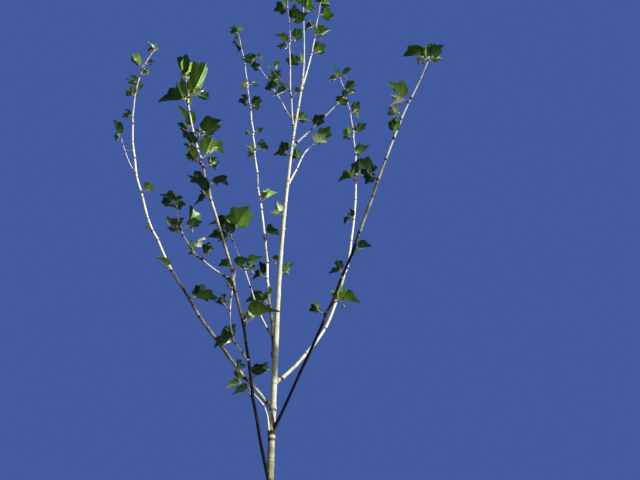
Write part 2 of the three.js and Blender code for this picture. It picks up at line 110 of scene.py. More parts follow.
LIMBS = (
    LimbSize(
        "far_left", "trunk", 2.19, 3.38, 0.01, 0.0032,
        lean=(44, 37, 31, 22, 14, 5, 12), bearing=(169, 170, 171, 170, 168, 160, 15),
        bare=0.62,
        tufts=(
            (0.055, 20, 4, 0.1, DEEP_AND_SHADED), (0.06, 190, 2, 0.07, DEEP_AND_SHADED), (0.125, 15, 3, 0.065, DEEP_AND_SHADED),
            (0.225, 5, 4, 0.1, DEEP_AND_SHADED), (0.29, 190, 3, 0.06, PALE), (0.39, 180, 2, 0.05, PALE),
            (0.49, 350, 2, 0.045, PALE),
        ),
        tip=(
            (0.72, 175, 3, 0.06, MID), (0.79, 185, 3, 0.08, MID), (0.84, 165, 4, 0.085, MID),
            (0.87, 5, 2, 0.06, FRESH_AND_LIT), (0.91, 180, 3, 0.07, PALE), (0.92, 10, 2, 0.055, MID),
            (1, 150, 4, 0.08, PALE),
        ),
    ),
    LimbSize(
        "front_left", "trunk", 1.9, 1.87, 0.009, 0.003,
        lean=(30, 27, 25, 27, 28, 24, 18), bearing=(236, 250, 241, 231, 227, 231, 238),
        bare=0.59,
        tufts=(
            (0.18, 190, 2, 0.055, DEEP_AND_SHADED), (0.34, 10, 3, 0.1, FRESH_AND_LIT), (0.42, 180, 3, 0.065, DEEP_AND_SHADED),
            (0.47, 15, 3, 0.065, MID),
        ),
        tip=(
            (0.65, 185, 2, 0.075, DEEP_AND_SHADED), (0.69, 0, 2, 0.065, DEEP_AND_SHADED), (0.695, 180, 3, 0.085, DEEP_AND_SHADED),
            (0.74, 10, 2, 0.06, DEEP_AND_SHADED), (0.75, 185, 3, 0.075, FRESH_AND_LIT), (0.76, 350, 2, 0.1, FRESH_AND_LIT),
            (0.79, 190, 3, 0.07, DEEP_AND_SHADED), (0.82, 10, 2, 0.075, MID), (0.835, 180, 2, 0.085, DEEP_AND_SHADED),
            (0.92, 190, 3, 0.105, MID), (0.94, 345, 3, 0.105, FRESH_AND_LIT), (1, 130, 3, 0.1, MID),
        ),
    ),
    LimbSize(
        "back_left", "trunk", 2.395, 3.44, 0.0098, 0.0026,
        lean=(14, 14, 13, 11, 11, 11, 15), bearing=(122, 126, 135, 138, 146, 152, 165),
        bare=0.47,
        tufts=(
            (0.1, 195, 3, 0.1, MID), (0.155, 185, 2, 0.055, DEEP_AND_SHADED), (0.19, 0, 2, 0.055, MID),
            (0.245, 340, 3, 0.065, DEEP_AND_SHADED), (0.34, 340, 3, 0.07, PALE),
        ),
        tip=(
            (0.49, 185, 3, 0.08, FRESH_AND_LIT), (0.5, 5, 2, 0.065, MID), (0.55, 185, 2, 0.055, PALE),
            (0.56, 0, 2, 0.05, MID), (0.66, 10, 3, 0.08, MID), (0.67, 190, 2, 0.07, DEEP_AND_SHADED),
            (0.735, 180, 3, 0.08, PALE), (0.75, 20, 2, 0.06, MID), (0.85, 10, 3, 0.085, MID),
            (0.93, 180, 3, 0.075, DEEP_AND_SHADED), (1, 150, 4, 0.075, MID),
        ),
    ),
    LimbSize(
        "inner_right", "trunk", 2.305, 3.24, 0.01, 0.0032,
        lean=(50, 38, 27, 20, 15, 12, 10, 8, 8, 8, 8, 10, 12),
        bearing=(36, 40, 43, 46, 48, 54, 64, 76, 90, 106, 122, 134, 142),
        bare=0.52,
        tufts=((0.28, 195, 2, 0.055, DEEP_AND_SHADED), (0.43, 180, 3, 0.065, DEEP_AND_SHADED)),
        tip=(
            (0.555, 185, 3, 0.1, MID), (0.57, 350, 4, 0.1, DEEP_AND_SHADED), (0.65, 10, 3, 0.08, MID),
            (0.71, 190, 2, 0.07, FRESH_AND_LIT), (0.735, 5, 3, 0.085, DEEP_AND_SHADED), (0.82, 0, 3, 0.085, MID),
            (0.88, 190, 3, 0.075, MID), (0.92, 10, 3, 0.09, FRESH_AND_LIT), (0.985, 185, 2, 0.08, MID),
            (1, 10, 2, 0.085, MID),
        ),
    ),
    LimbSize(
        "far_right", "trunk", 2.095, 2.02, 0.0093, 0.003,
        lean=(36, 33, 30, 28, 26, 31, 25), bearing=(322, 320, 320, 319, 320, 325, 328),
        bare=0.57,
        tufts=((0.27, 190, 2, 0.045, MID), (0.295, 5, 4, 0.1, FRESH_AND_LIT), (0.42, 0, 2, 0.055, MID)),
        tip=(
            (0.615, 165, 2, 0.07, DEEP_AND_SHADED), (0.73, 275, 2, 0.08, FRESH_AND_LIT), (0.79, 185, 2, 0.07, PALE),
            (0.84, 175, 3, 0.08, PALE), (0.98, 350, 4, 0.09, FRESH_AND_LIT), (1, 120, 4, 0.085, PALE),
        ),
    ),
    LimbSize(
        "low_stub", "trunk", 2.045, 0.27, 0.005, 0.0024,
        lean=(22, 8, 40, 50), bearing=(200, 220, 190, 175),
        tip=((0.6, 40, 2, 0.05, DEEP_AND_SHADED), (1, 180, 2, 0.055, MID)),
    ),
    LimbSize(
        "left_whip", "front_left", 0.26, 0.43, 0.004, 0.002,
        lean=(50, 22, 13, 10), bearing=(188, 230, 285, 290),
        tip=((0.22, 180, 3, 0.055, DEEP_AND_SHADED), (0.55, 190, 3, 0.05, DEEP_AND_SHADED), (1, 160, 2, 0.05, MID)),
    ),
    LimbSize(
        "left_side", "front_left", 0.445, 0.5, 0.005, 0.0022,
        lean=(66, 50, 30, 8), bearing=(185, 190, 200, 230),
        bare=0.3,
        tip=(
            (0.36, 340, 2, 0.065, DEEP_AND_SHADED), (0.4, 200, 2, 0.06, MID), (0.53, 70, 2, 0.06, PALE),
            (0.66, 185, 3, 0.075, DEEP_AND_SHADED), (0.72, 10, 3, 0.07, MID), (1, 150, 4, 0.08, DEEP_AND_SHADED),
        ),
    ),
    LimbSize(
        "middle_side", "back_left", 0.045, 0.64, 0.005, 0.0022,
        lean=(43, 24, 27, 18), bearing=(212, 215, 205, 200),
        bare=0.45,
        tip=(
            (0.58, 20, 3, 0.07, DEEP_AND_SHADED), (0.85, 190, 3, 0.085, DEEP_AND_SHADED), (0.93, 350, 2, 0.12, FRESH_AND_LIT),
            (1, 130, 4, 0.085, DEEP_AND_SHADED),
        ),
    ),
    LimbSize(
        "low_right", "trunk", 3.455, 0.72, 0.0062, 0.0025,
        lean=(21, 22, 24, 38), bearing=(60, 60, 56, 42),
        tip=((0.55, 170, 3, 0.07, MID), (0.86, 350, 2, 0.07, PALE), (1, 10, 3, 0.075, MID)),
    ),
    LimbSize(
        "up_right", "trunk", 3.79, 0.54, 0.0064, 0.0025,
        lean=(40, 42, 40, 36), bearing=(350, 348, 348, 350),
        tip=(
            (0.34, 330, 4, 0.08, DEEP_AND_SHADED), (0.6, 110, 2, 0.055, MID), (0.8, 350, 2, 0.06, MID),
            (1, 20, 2, 0.055, PALE),
        ),
    ),
    LimbSize(
        "up_left", "trunk", 3.965, 1.22, 0.0064, 0.0024,
        lean=(20, 23, 24, 23), bearing=(135, 138, 143, 144),
        bare=0.42,
        tip=(
            (0.47, 190, 2, 0.06, MID), (0.62, 0, 3, 0.075, MID), (0.84, 190, 2, 0.065, FRESH_AND_LIT),
            (1, 150, 4, 0.08, MID),
        ),
    ),
    LimbSize(
        "up_front", "trunk", 3.935, 1.13, 0.0064, 0.0024,
        lean=(18, 15, 14, 13, 14), bearing=(238, 262, 262, 255, 250),
        bare=0.34,
        tufts=((0.23, 350, 3, 0.08, MID), (0.27, 190, 3, 0.08, DEEP_AND_SHADED)),
        tip=(
            (0.6, 180, 4, 0.08, FRESH_AND_LIT), (0.64, 10, 2, 0.06, MID), (0.78, 340, 3, 0.075, MID),
            (0.9, 180, 3, 0.075, MID), (1, 20, 4, 0.08, MID),
        ),
    ),
    LimbSize(
        "front_whip", "up_front", 0.29, 0.44, 0.0035, 0.0018,
        lean=(40, 34, 31, 36), bearing=(180, 182, 178, 175),
        tip=((0.55, 0, 2, 0.055, PALE), (1, 100, 3, 0.06, MID)),
    ),
    LimbSize(
        "top_right", "trunk", 4.34, 1.5, 0.0068, 0.0025,
        lean=(13, 11, 9, 8, 8), bearing=(52, 55, 62, 62, 60),
        bare=0.33,
        tip=(
            (0.37, 10, 3, 0.08, MID), (0.56, 350, 4, 0.085, FRESH_AND_LIT), (0.66, 190, 2, 0.07, MID),
            (0.82, 10, 4, 0.085, MID), (1, 60, 4, 0.08, MID),
        ),
    ),
    LimbSize(
        "left_shoot", "far_left", 0.545, 0.36, 0.0034, 0.0018,
        lean=(40, 30, 24, 18), bearing=(186, 186, 184, 180),
        tip=((0.62, 10, 1, 0.04, PALE), (1, 170, 3, 0.075, MID)),
    ),
)


@dataclass(frozen=True)
class TrunkSize:
    """The leader, from the flat cut at the ground to its tip, with the tufts that sit on it."""

    height: float = 6.05
    foot_radius: float = 0.022
    tip_radius: float = 0.0025
    taper: float = 0.85
    flare_radius: float = 0.014
    flare_height: float = 0.13
    sway_right: tuple[float, ...] = (0, 0.005, 0.004, -0.005, -0.006, 0.026, 0.084, 0.070, 0.048)
    sway_away: tuple[float, ...] = (0, -0.006, -0.004, 0.004, 0.008, 0.002, -0.006, -0.004, 0.006)
    # The tufts' DEEP_AND_SHADED and FRESH_AND_LIT tints are partly painted shade and painted light on the
    # leaves.
    tufts: tuple[TuftSize, ...] = (
        (2.18, 350, 2, 0.055, MID), (2.88, 10, 3, 0.05, FRESH_AND_LIT), (3.25, 195, 3, 0.05, PALE),
        (3.72, 190, 3, 0.065, DEEP_AND_SHADED), (4.05, 50, 4, 0.07, MID), (4.4, 350, 3, 0.085, FRESH_AND_LIT),
        (4.62, 195, 4, 0.085, MID), (5.32, 30, 4, 0.095, FRESH_AND_LIT), (5.56, 200, 4, 0.095, MID),
        (5.8, 330, 4, 0.09, FRESH_AND_LIT), (6.02, 170, 5, 0.085, FRESH_AND_LIT),
    )

    def radius(self, share: Numbers) -> Numbers:
        """The trunk's radius at a share of its height, with the flare at its foot."""
        bole = lerp(self.foot_radius, self.tip_radius, share**self.taper)
        return bole + self.flare_radius * np.exp(-share * self.height / self.flare_height)


# Small helpers


def lerp(low: float, high: float, share: Numbers) -> Numbers:
    """The value at a share of the way from low to high."""
    return low + (high - low) * share


def unit(vector: Vector) -> Vector:
    """The vector at length 1."""
    return vector / np.linalg.norm(vector)


def heading(bearing: float, lean: float) -> Vector:
    """The direction with that bearing and that lean from upright, in degrees."""
    turn, tilt = math.radians(bearing), math.radians(lean)
    return np.array([math.cos(turn) * math.sin(tilt), math.sin(turn) * math.sin(tilt), math.cos(tilt)])


def at_even_steps(values: tuple[float, ...], share: float) -> float:
    """The value at a share of the way along values that stand at even steps."""
    return float(np.interp(share * (len(values) - 1), np.arange(len(values)), values))


def point_on(line: Vector, share: float) -> Vector:
    """The point at a share of a line.

    Args:
        line: evenly spaced points.
        share: the share of its length, which is kept between 0 and 1.

    Returns:
        The point.
    """
    place = min(max(share, 0.0), 1.0) * (len(line) - 1)
    index = min(int(place), len(line) - 2)
    return lerp(line[index], line[index + 1], place - index)


def smooth_points(line: Vector, shares: np.ndarray) -> Vector:
    """Points of the smooth curve that runs through the line's evenly spaced points.

    Args:
        line: the points that the curve runs through.
        shares: where to read it, from 0 to 1.

    Returns:
        One point for each share.
    """
    place = np.clip(shares, 0, 1) * (len(line) - 1)
    index = np.minimum(place.astype(int), len(line) - 2)
    t = (place - index)[:, None]
    padded = np.vstack([2 * line[0] - line[1], line, 2 * line[-1] - line[-2]])
    p0, p1, p2, p3 = (padded[index + step] for step in range(4))
    return 0.5 * (2 * p1 + (p2 - p0) * t + (2 * p0 - 5 * p1 + 4 * p2 - p3) * t**2
                  + (3 * p1 - p0 - 3 * p2 + p3) * t**3)


@dataclass
class Draws:
    """Seeded numbers between 0 and 1, the same ones as in the part's source."""

    state: int
    factor: int = 1664525
    step: int = 1013904223
    span: int = 2**32
    thrown_away: int = 4

    def __post_init__(self) -> None:
        """Throws the first few numbers away."""
        for _ in range(self.thrown_away):
            self.next()

    def next(self) -> float:
        """The next number."""
        self.state = (self.state * self.factor + self.step) % self.span
        return self.state / self.span

    def between(self, low: float, high: float) -> float:
        """A number between low and high."""
        return lerp(low, high, self.next())


# The skeleton and the rule of growth


@dataclass
class Skeleton:
    """The centre lines and radii of the trunk and of every limb, each limb listed after its carrier."""

    trunk: TrunkSize
    limb_sizes: tuple[LimbSize, ...]
    legs: int = 48
    fine_steps: int = 4000
    limbs: dict[str, LimbSize] = field(init=False)
    lines: dict[str, Vector] = field(init=False)

    def __post_init__(self) -> None:
        """Grows every line from its carrier."""
        self.limbs = {limb.name: limb for limb in self.limb_sizes}
        self.lines = {"trunk": self._trunk_line()}
        for limb in self.limb_sizes:
            foot = point_on(self.lines[limb.carrier], self.seat_share(limb))
            self.lines[limb.name] = self._grown_line(foot, limb)

    def seat_share(self, limb: LimbSize) -> float:
        """The share of its carrier where a limb sits."""
        return limb.seat / self.trunk.height if limb.carrier == "trunk" else limb.seat

    def length(self, name: str) -> float:
        """A line's length."""
        line = self.lines[name]
        return float(np.linalg.norm(line[1] - line[0])) * (len(line) - 1)

    def radius(self, name: str, share: Numbers) -> Numbers:
        """A limb's or the trunk's radius at a share of its length."""
        limb = self.limbs.get(name)
        return lerp(limb.foot_radius, limb.tip_radius, share) if limb else self.trunk.radius(share)

    def _trunk_line(self) -> Vector:
        """The trunk's swaying line, upright at the ground.

        Returns:
            Its points, at even steps along it.
        """
        count = len(self.trunk.sway_right)
        stations = np.column_stack([
            self.trunk.sway_right, self.trunk.sway_away, np.linspace(0, self.trunk.height, count)])
        fine = smooth_points(stations, np.linspace(0, 1, self.fine_steps))
        walked = np.concatenate([[0], np.cumsum(np.linalg.norm(np.diff(fine, axis=0), axis=1))])
        even = np.linspace(0, walked[-1], 2 * self.legs + 1)
        line = np.column_stack([np.interp(even, walked, fine[:, axis]) for axis in range(3)])
        line[1, :2] = line[0, :2]
        return line

    def _grown_line(self, foot: Vector, limb: LimbSize) -> Vector:
        """The line that growing legs of lean and bearing trace.

        Args:
            foot: where the limb starts.
            limb: its sizes.

        Returns:
            Its points, at even steps along it.
        """
        points = [foot]
        for i in range(self.legs):
            share = (i + 0.5) / self.legs
            ahead = heading(at_even_steps(limb.bearing, share), at_even_steps(limb.lean, share))
            points.append(points[-1] + ahead * limb.length / self.legs)
        return np.array(points)


@dataclass(frozen=True)
class GrowthRule:
    """How spurs and leaves grow: metres, degrees and shares, as in the part's source."""

    blade_middle: float = 0.3
    lobes_a_side: int = 2
    lobe_angle: float = 48.0
    lobe_loss: float = 0.5
    notch_depth: float = 0.8
    notch_loss: float = 0.3
    lobe_droop: float = 0.16
    petiole_share: float = 0.36
    leaf_sizes: tuple[float, float] = (0.72, 1.22)
    spur_length: float = 0.040
    spur_shares: tuple[float, float] = (0.8, 1.3)
    spur_lean: float = 58.0
    spur_lean_range: float = 16.0
    first_seat: float = 0.45
    last_seat: float = 0.85
    petiole_spread: float = 56.0
    spread_range: float = 40.0
    stalk_rise: float = 0.5
    turn_between_leaves: float = 137.5
    turn_range: float = 90.0
    rise_kept: float = 0.6
    droop: tuple[float, float] = (-0.5, 0.25)
    face_tilt: float = 0.7
    tries_per_leaf: int = 5
    clear_of_limb: float = 0.020
    clear_of_twig: float = 0.008
    clear_of_space: float = 0.007
    clear_of_blade: float = 0.2
    twig_tests: tuple[float, ...] = (0.15, 0.4, 0.7, 1.0)
    balls_per_limb: int = 130
    anchor_step: float = 0.060
    anchor_shares: tuple[float, ...] = (0.5, 1.0, 1.8)
    first_seed: int = 1035
    mass_seed_step: int = 7919
    tuft_seed_step: int = 631
    leaf_seed_step: int = 53
    try_seed_step: int = 7

    def notch(self, away: float) -> float:
        """A notch's reach, at a share of the way from the middle lobe to the last one."""
        return self.notch_depth - self.notch_loss * away

    def lobe(self, away: float) -> float:
        """A lobe's reach, at a share of the way from the middle lobe to the last one."""
        return 1 - self.lobe_loss * away * away


@dataclass(frozen=True)
class FinerRule:
    """How the growth is carried on to smaller leaves: metres, degrees and shares of the tuft's blade."""

    clearance: float = 0.4
    small_share: float = 0.58
    small_tries: int = 4
    stalk_share: float = 0.3
    young_seed: int = 97
    young_most: int = 3
    young_blade: tuple[float, float] = (0.3, 0.55)
    young_spread: tuple[float, float] = (8.0, 42.0)
    young_rise: tuple[float, float] = (0.2, 0.9)
    young_tilt: tuple[float, float] = (0.4, 1.4)
    young_seat: float = 0.97
    shoot_seed: int = 211
    shoot_least_blade: float = 0.06
    shoot_length: tuple[float, float] = (0.030, 0.055)
    shoot_seat: tuple[float, float] = (0.3, 0.7)
    shoot_spread: tuple[float, float] = (35.0, 60.0)
    shoot_rise: float = 0.5
    shoot_leaves: tuple[tuple[float, int], ...] = ((0.6, 1), (0.97, -1))
    shoot_blade: tuple[float, float] = (0.3, 0.48)
    shoot_side: tuple[float, float] = (0.2, 0.8)
    shoot_lift: tuple[float, float] = (-0.4, 0.4)
    shoot_tilt: float = 0.3


@dataclass(frozen=True)
class Spur:
    """A short twig that leans out from its limb and bears a tuft."""

    foot: Vector
    end: Vector
    along: Vector
    sideways: Vector
    across: Vector

    def off(self, turn: float, spread: float) -> Vector:
        """The direction at an angle of spread from the spur, turned about it, both in radians."""
        round_it = self.sideways * math.cos(turn) + self.across * math.sin(turn)
        return self.along * math.cos(spread) + round_it * math.sin(spread)


class Growth(IntEnum):
    """How far a leaf has opened."""

    GROWN = 0
    SMALL = 1
    YOUNG = 2


@dataclass(frozen=True)
class Leaf:
    """A leaf in place: its stalk runs from start to hub, and its blade from the hub ahead."""

    start: Vector
    hub: Vector
    ahead: Vector
    face: Vector
    size: float
    growth: Growth = Growth.GROWN


@dataclass(frozen=True)
class Shoot:
    """A fine twig that branches from a spur."""

    foot: Vector
    end: Vector


@dataclass
class Tuft:
    """A spur with the leaves that found room on it."""

    spur: Spur
    place: float
    bearing: float
    leaf_count: int
    size: float
    tint: Tint
    seed: int
    leaves: list[Leaf] = field(default_factory=list)
    shoots: list[Shoot] = field(default_factory=list)


@dataclass
class Mass:
    """A mass of foliage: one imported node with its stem, if it has one, and its tufts.

    Bare is where the stem starts along the limb, or None without a stem, and number its place in the
    source's order. Taken holds the test points of the leaves that it has.
    """

    name: str
    limb: str
    bare: float | None
    number: int
    tufts: list[Tuft] = field(default_factory=list)
    taken: list[Vector] = field(default_factory=list)


@dataclass
class Crown:
    """Every mass of foliage, grown by the part's rule and then carried on to finer leaves."""

    skeleton: Skeleton
    rule: GrowthRule = GrowthRule()
    finer: FinerRule = FinerRule()
    masses: list[Mass] = field(default_factory=list)

    def __post_init__(self) -> None:
        """Grows the masses in the source's order."""
        self.rim = self._coarse_rim()
        self._list_masses()
        self._gather_balls()
        self._gather_anchors()
        for mass in self.masses:
            self._grow(mass)

    @property
    def tufts(self) -> list[Tuft]:
        """Every tuft, in the masses' order."""
        return [tuft for mass in self.masses for tuft in mass.tufts]

    def _coarse_rim(self) -> np.ndarray:
        """The plain blade's rim, five lobes with notches between them.

        Returns:
            Its points across and along the blade, in shares of its length.
        """
        rule, rim = self.rule, []
        for i in range(-2 * rule.lobes_a_side, 2 * rule.lobes_a_side + 1):
            away = abs(i) / (2 * rule.lobes_a_side)
            reach = rule.notch(away) if i % 2 else rule.lobe(away)
            turn = math.radians(i * rule.lobe_angle / 2)
            rim.append([reach * math.sin(turn), reach * math.cos(turn)])
        return np.array(rim)

    def _list_masses(self) -> None:
        """Lists the masses in the source's order: on the trunk, then along and at the tip of each limb."""
        trunk = self.skeleton.trunk
        for i, (height, *rest) in enumerate(trunk.tufts):
            self._add_mass(f"leaves_trunk_{i + 1}", "trunk", None, ((height / trunk.height, *rest),))
        for limb in self.skeleton.limb_sizes:
            for i, size in enumerate(limb.tufts):
                self._add_mass(f"leaves_{limb.name}_{i + 1}", limb.name, None, (size,))
            self._add_mass(f"leaves_{limb.name}_tip", limb.name, limb.bare, limb.tip)

    def _add_mass(self, name: str, limb: str, bare: float | None, sizes: tuple[TuftSize, ...]) -> None:
        """Adds a mass with its spurs, before any leaf.

        Args:
            name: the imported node's name.
            limb: the limb that bears it.
            bare: where its stem starts along the limb, or None without a stem.
            sizes: its tufts' sizes.
        """
        rule, mass = self.rule, Mass(name, limb, bare, len(self.masses))
        for i, (share, *size) in enumerate(sizes):
            seed = rule.first_seed + rule.mass_seed_step * mass.number + rule.tuft_seed_step * i
            spur = self._spur(point_on(self.skeleton.lines[limb], share), size[0], Draws(seed))
            mass.tufts.append(Tuft(spur, share, *size, seed))
        self.masses.append(mass)

    def _spur(self, foot: Vector, bearing: float, draws: Draws) -> Spur:
        """A spur that leans out from its foot.

        Args:
            foot: where it leaves its limb's centre line.
            bearing: where it leans, in degrees.
            draws: its tuft's draws.

        Returns:
            The spur.
        """
        rule = self.rule
        along = heading(bearing, rule.spur_lean + rule.spur_lean_range * (draws.next() - 0.5))
        length = rule.spur_length * draws.between(*rule.spur_shares)
        sideways = unit(np.cross(along, UP))
        return Spur(foot, foot + along * length, along, sideways, np.cross(along, sideways))

    def _leaf(self, tuft: Tuft, index: int, attempt: int) -> Leaf:
        """One try at a leaf: its stalk turns about the spur and its blade lies nearly level.

        Args:
            tuft: the tuft.
            index: the leaf's place among the tuft's leaves.
            attempt: the number of the try.

        Returns:
            The leaf.
        """
        rule, spur = self.rule, tuft.spur
        draws = Draws(tuft.seed + rule.leaf_seed_step * (index + 1) + rule.try_seed_step * attempt)
        turn = math.radians(rule.turn_between_leaves * index + rule.turn_range * draws.next())
        spread = math.radians(rule.petiole_spread + rule.spread_range * (draws.next() - 0.5))
        size = tuft.size * draws.between(*rule.leaf_sizes)
        seat = lerp(rule.first_seat, rule.last_seat, (index + 1) / tuft.leaf_count)
        start = lerp(spur.foot, spur.end, seat)
        stalk = unit(spur.off(turn, spread) + UP * rule.stalk_rise)
        droop = draws.between(*rule.droop)
        ahead = unit(np.array([stalk[0], stalk[1], stalk[2] * rule.rise_kept - droop]))
        face = np.array([rule.face_tilt * (draws.next() - 0.5), rule.face_tilt * (draws.next() - 0.5), 1])
        return Leaf(start, start + stalk * size * rule.petiole_share, ahead, self._squared(face, ahead), size)

    @staticmethod
    def _squared(face: Vector, ahead: Vector) -> Vector:
        """A blade's facing made square to the way it points."""
        return unit(face - ahead * face.dot(ahead))

    def _gather_balls(self) -> None:
        """Sets balls along the trunk and every limb, which leaves stay clear of."""
        shares = np.linspace(0, 1, self.rule.balls_per_limb + 1)
        names = list(self.skeleton.lines)
        self.ball_centres = np.vstack([
            [point_on(self.skeleton.lines[name], share) for share in shares] for name in names])
        self.ball_radii = np.concatenate([self.skeleton.radius(name, shares) for name in names])
        self.ball_limbs = np.repeat(names, len(shares))

    def _gather_anchors(self) -> None:
        """Sets the points whose nearness makes each mass's own space: on its spurs and its stem."""
        rule, points, owners = self.rule, [], []
        for mass in self.masses:
            found = [lerp(tuft.spur.foot, tuft.spur.end, reach)
                     for tuft in mass.tufts for reach in rule.anchor_shares]
            if mass.bare is not None:
                count = math.ceil(self.skeleton.length(mass.limb) * (1 - mass.bare) / rule.anchor_step)
                line = self.skeleton.lines[mass.limb]
                found += [point_on(line, lerp(mass.bare, 1.0, i / count)) for i in range(count + 1)]
            points += found
            owners += [mass.number] * len(found)
        self.anchors = np.array(points)
        self.anchor_owners = np.array(owners)

    def _in_own_space(self, tests: Vector, mass: Mass, gap: float) -> bool:
        """Whether every test point lies nearer to its own mass's anchors than to any other's.

        Args:
            tests: the points.
            mass: their mass.
            gap: how much nearer they have to be.

        Returns:
            Whether they do.
        """
        far = np.linalg.norm(tests[:, None] - self.anchors[None], axis=2)
        own = self.anchor_owners == mass.number
        return bool(np.all(far[:, ~own].min(axis=1) >= far[:, own].min(axis=1) + gap))

    def _clear_of_balls(self, tests: Vector, gap: float, but: str | None = None) -> bool:
        """Whether every test point lies clear of the limbs.

        Args:
            tests: the points.
            gap: how far from the wood they have to be.
            but: a limb that doesn't count.

        Returns:
            Whether they do.
        """
        other = self.ball_limbs != but
        far = np.linalg.norm(tests[:, None] - self.ball_centres[None, other], axis=2)
        return bool(np.all(far >= self.ball_radii[other] + gap))

    def _twig_fits(self, start: Vector, end: Vector, mass: Mass, share: float = 1.0) -> bool:
        """Whether a spur or a stalk is clear of the other limbs and in its mass's space.

        Args:
            start: its foot.
            end: its other end.
            mass: its mass.
            share: the share of the rule's clearances that is asked for.

        Returns:
            Whether it is.
        """
        tests = np.array([lerp(start, end, test) for test in self.rule.twig_tests])
        return (self._clear_of_balls(tests, self.rule.clear_of_twig * share, mass.limb)
                and self._in_own_space(tests, mass, self.rule.clear_of_space * share))

    def _blade_tests(self, leaf: Leaf) -> Vector:
        """Points spread over a blade.

        Args:
            leaf: the leaf in place.

        Returns:
            Its hub, its middle, its rim and points half-way between.
        """
        x, y = self.rim[:, :1], self.rim[:, 1:]
        fall = -self.rule.lobe_droop * (x * x + y * y)
        sideways = np.cross(leaf.ahead, leaf.face)
        rim = leaf.hub + leaf.size * (x * sideways + y * leaf.ahead + fall * leaf.face)
        middle = leaf.hub + leaf.size * self.rule.blade_middle * leaf.ahead
        return np.vstack([leaf.hub, middle, rim, (rim + middle) / 2])

    def _takes_room(self, leaf: Leaf, mass: Mass, share: float = 1.0) -> bool:
        """Tests a blade's room, and lets it take the room if it fits.

        Args:
            leaf: the leaf in place.
            mass: its mass.
            share: the share of the rule's clearances that is asked for.

        Returns:
            Whether it fits.
        """
        rule, tests = self.rule, self._blade_tests(leaf)
        if mass.taken:
            gaps = np.linalg.norm(tests[:, None] - np.vstack(mass.taken)[None], axis=2)
            if gaps.min() < leaf.size * rule.clear_of_blade * share:
                return False
        fits = (self._clear_of_balls(tests, rule.clear_of_limb * share)
                and self._in_own_space(tests, mass, rule.clear_of_space * share))
        if fits:
            mass.taken.append(tests)
        return fits

    def _grow(self, mass: Mass) -> None:
        """Grows a mass's leaves by the source's rule, then its finer ones in what room is left.

        Args:
            mass: the mass, which has its spurs.
        """
        rooted = [tuft for tuft in mass.tufts if self._twig_fits(tuft.spur.foot, tuft.spur.end, mass)]
        missing = []
        for tuft in rooted:
            for i in range(tuft.leaf_count):
                if not self._grow_leaf(tuft, i, mass):
                    missing.append((tuft, i))
        for tuft, i in missing:
            self._grow_small(tuft, i, mass)
        for tuft in rooted:
            self._grow_young(tuft, mass)
            self._grow_shoot(tuft, mass)

    def _grow_leaf(self, tuft: Tuft, index: int, mass: Mass) -> bool:
        """Tries to grow a leaf by the source's rule.

        Args:
            tuft: the leaf's tuft.
            index: its place among the tuft's leaves.
            mass: its mass.

        Returns:
            Whether one of the tries found room.
        """
        for attempt in range(self.rule.tries_per_leaf):
            leaf = self._leaf(tuft, index, attempt)
            if self._twig_fits(leaf.start, leaf.hub, mass) and self._takes_room(leaf, mass):
                tuft.leaves.append(leaf)
                return True
        return False

    def _grow_small(self, tuft: Tuft, index: int, mass: Mass) -> None:
        """Grows a half-grown leaf in the place of one that found no room.

        Args:
            tuft: the leaf's tuft.
            index: its place among the tuft's leaves.
            mass: its mass.
        """
        share = self.finer.small_share
        for attempt in range(self.finer.small_tries):
            full = self._leaf(tuft, index, self.rule.tries_per_leaf + attempt)
            hub = lerp(full.start, full.hub, share)
            leaf = Leaf(full.start, hub, full.ahead, full.face, full.size * share, Growth.SMALL)
            if self._takes_room(leaf, mass, self.finer.clearance):
                tuft.leaves.append(leaf)
                return

    def _grow_shoot(self, tuft: Tuft, mass: Mass) -> None:
        """Grows a fine twig from the side of the spur, with a small leaf along it and one at its tip.

        Args:
            tuft: the tuft.
            mass: its mass.
        """
        rule = self.finer
        if tuft.size < rule.shoot_least_blade or not tuft.leaves:
            return
        draws = Draws(tuft.seed + rule.shoot_seed)
        turn = math.tau * draws.next()
        spread = math.radians(draws.between(*rule.shoot_spread))
        foot = lerp(tuft.spur.foot, tuft.spur.end, draws.between(*rule.shoot_seat))
        along = unit(tuft.spur.off(turn, spread) + UP * rule.shoot_rise)
        end = foot + along * draws.between(*rule.shoot_length)
        if not self._twig_fits(foot, end, mass, rule.clearance):
            return
        borne = []
        for share, side in rule.shoot_leaves:
            size = tuft.size * draws.between(*rule.shoot_blade)
            sideways = unit(np.cross(along, UP)) * side
            ahead = along + sideways * draws.between(*rule.shoot_side)
            ahead = unit(ahead + UP * draws.between(*rule.shoot_lift))
            face = self._squared(UP + sideways * rule.shoot_tilt, ahead)
            start = lerp(foot, end, share)
            leaf = Leaf(start, start + ahead * size * rule.stalk_share, ahead, face, size, Growth.SMALL)
            if self._takes_room(leaf, mass, rule.clearance):
                borne.append(leaf)
        if borne:
            tuft.shoots.append(Shoot(foot, end))
            tuft.leaves += borne

    def _grow_young(self, tuft: Tuft, mass: Mass) -> None:
        """Grows the spur's own tip: a few folded young leaves that point up and out.

        Args:
            tuft: the tuft.
            mass: its mass.
        """
        rule, spur = self.finer, tuft.spur
        draws = Draws(tuft.seed + rule.young_seed)
        for i in range(1 + int(draws.next() * rule.young_most)):
            turn = math.radians(self.rule.turn_between_leaves * i + self.rule.turn_range * draws.next())
            spread = math.radians(draws.between(*rule.young_spread))
            size = tuft.size * draws.between(*rule.young_blade)
            ahead = unit(spur.off(turn, spread) + UP * draws.between(*rule.young_rise))
            outward = unit(spur.along * LEVEL)
            face = self._squared(UP - outward * draws.between(*rule.young_tilt), ahead)
            start = lerp(spur.foot, spur.end, rule.young_seat)
            leaf = Leaf(start, start + ahead * size * rule.stalk_share, ahead, face, size, Growth.YOUNG)
            if self._takes_room(leaf, mass, rule.clearance):
                tuft.leaves.append(leaf)


# Mesh building


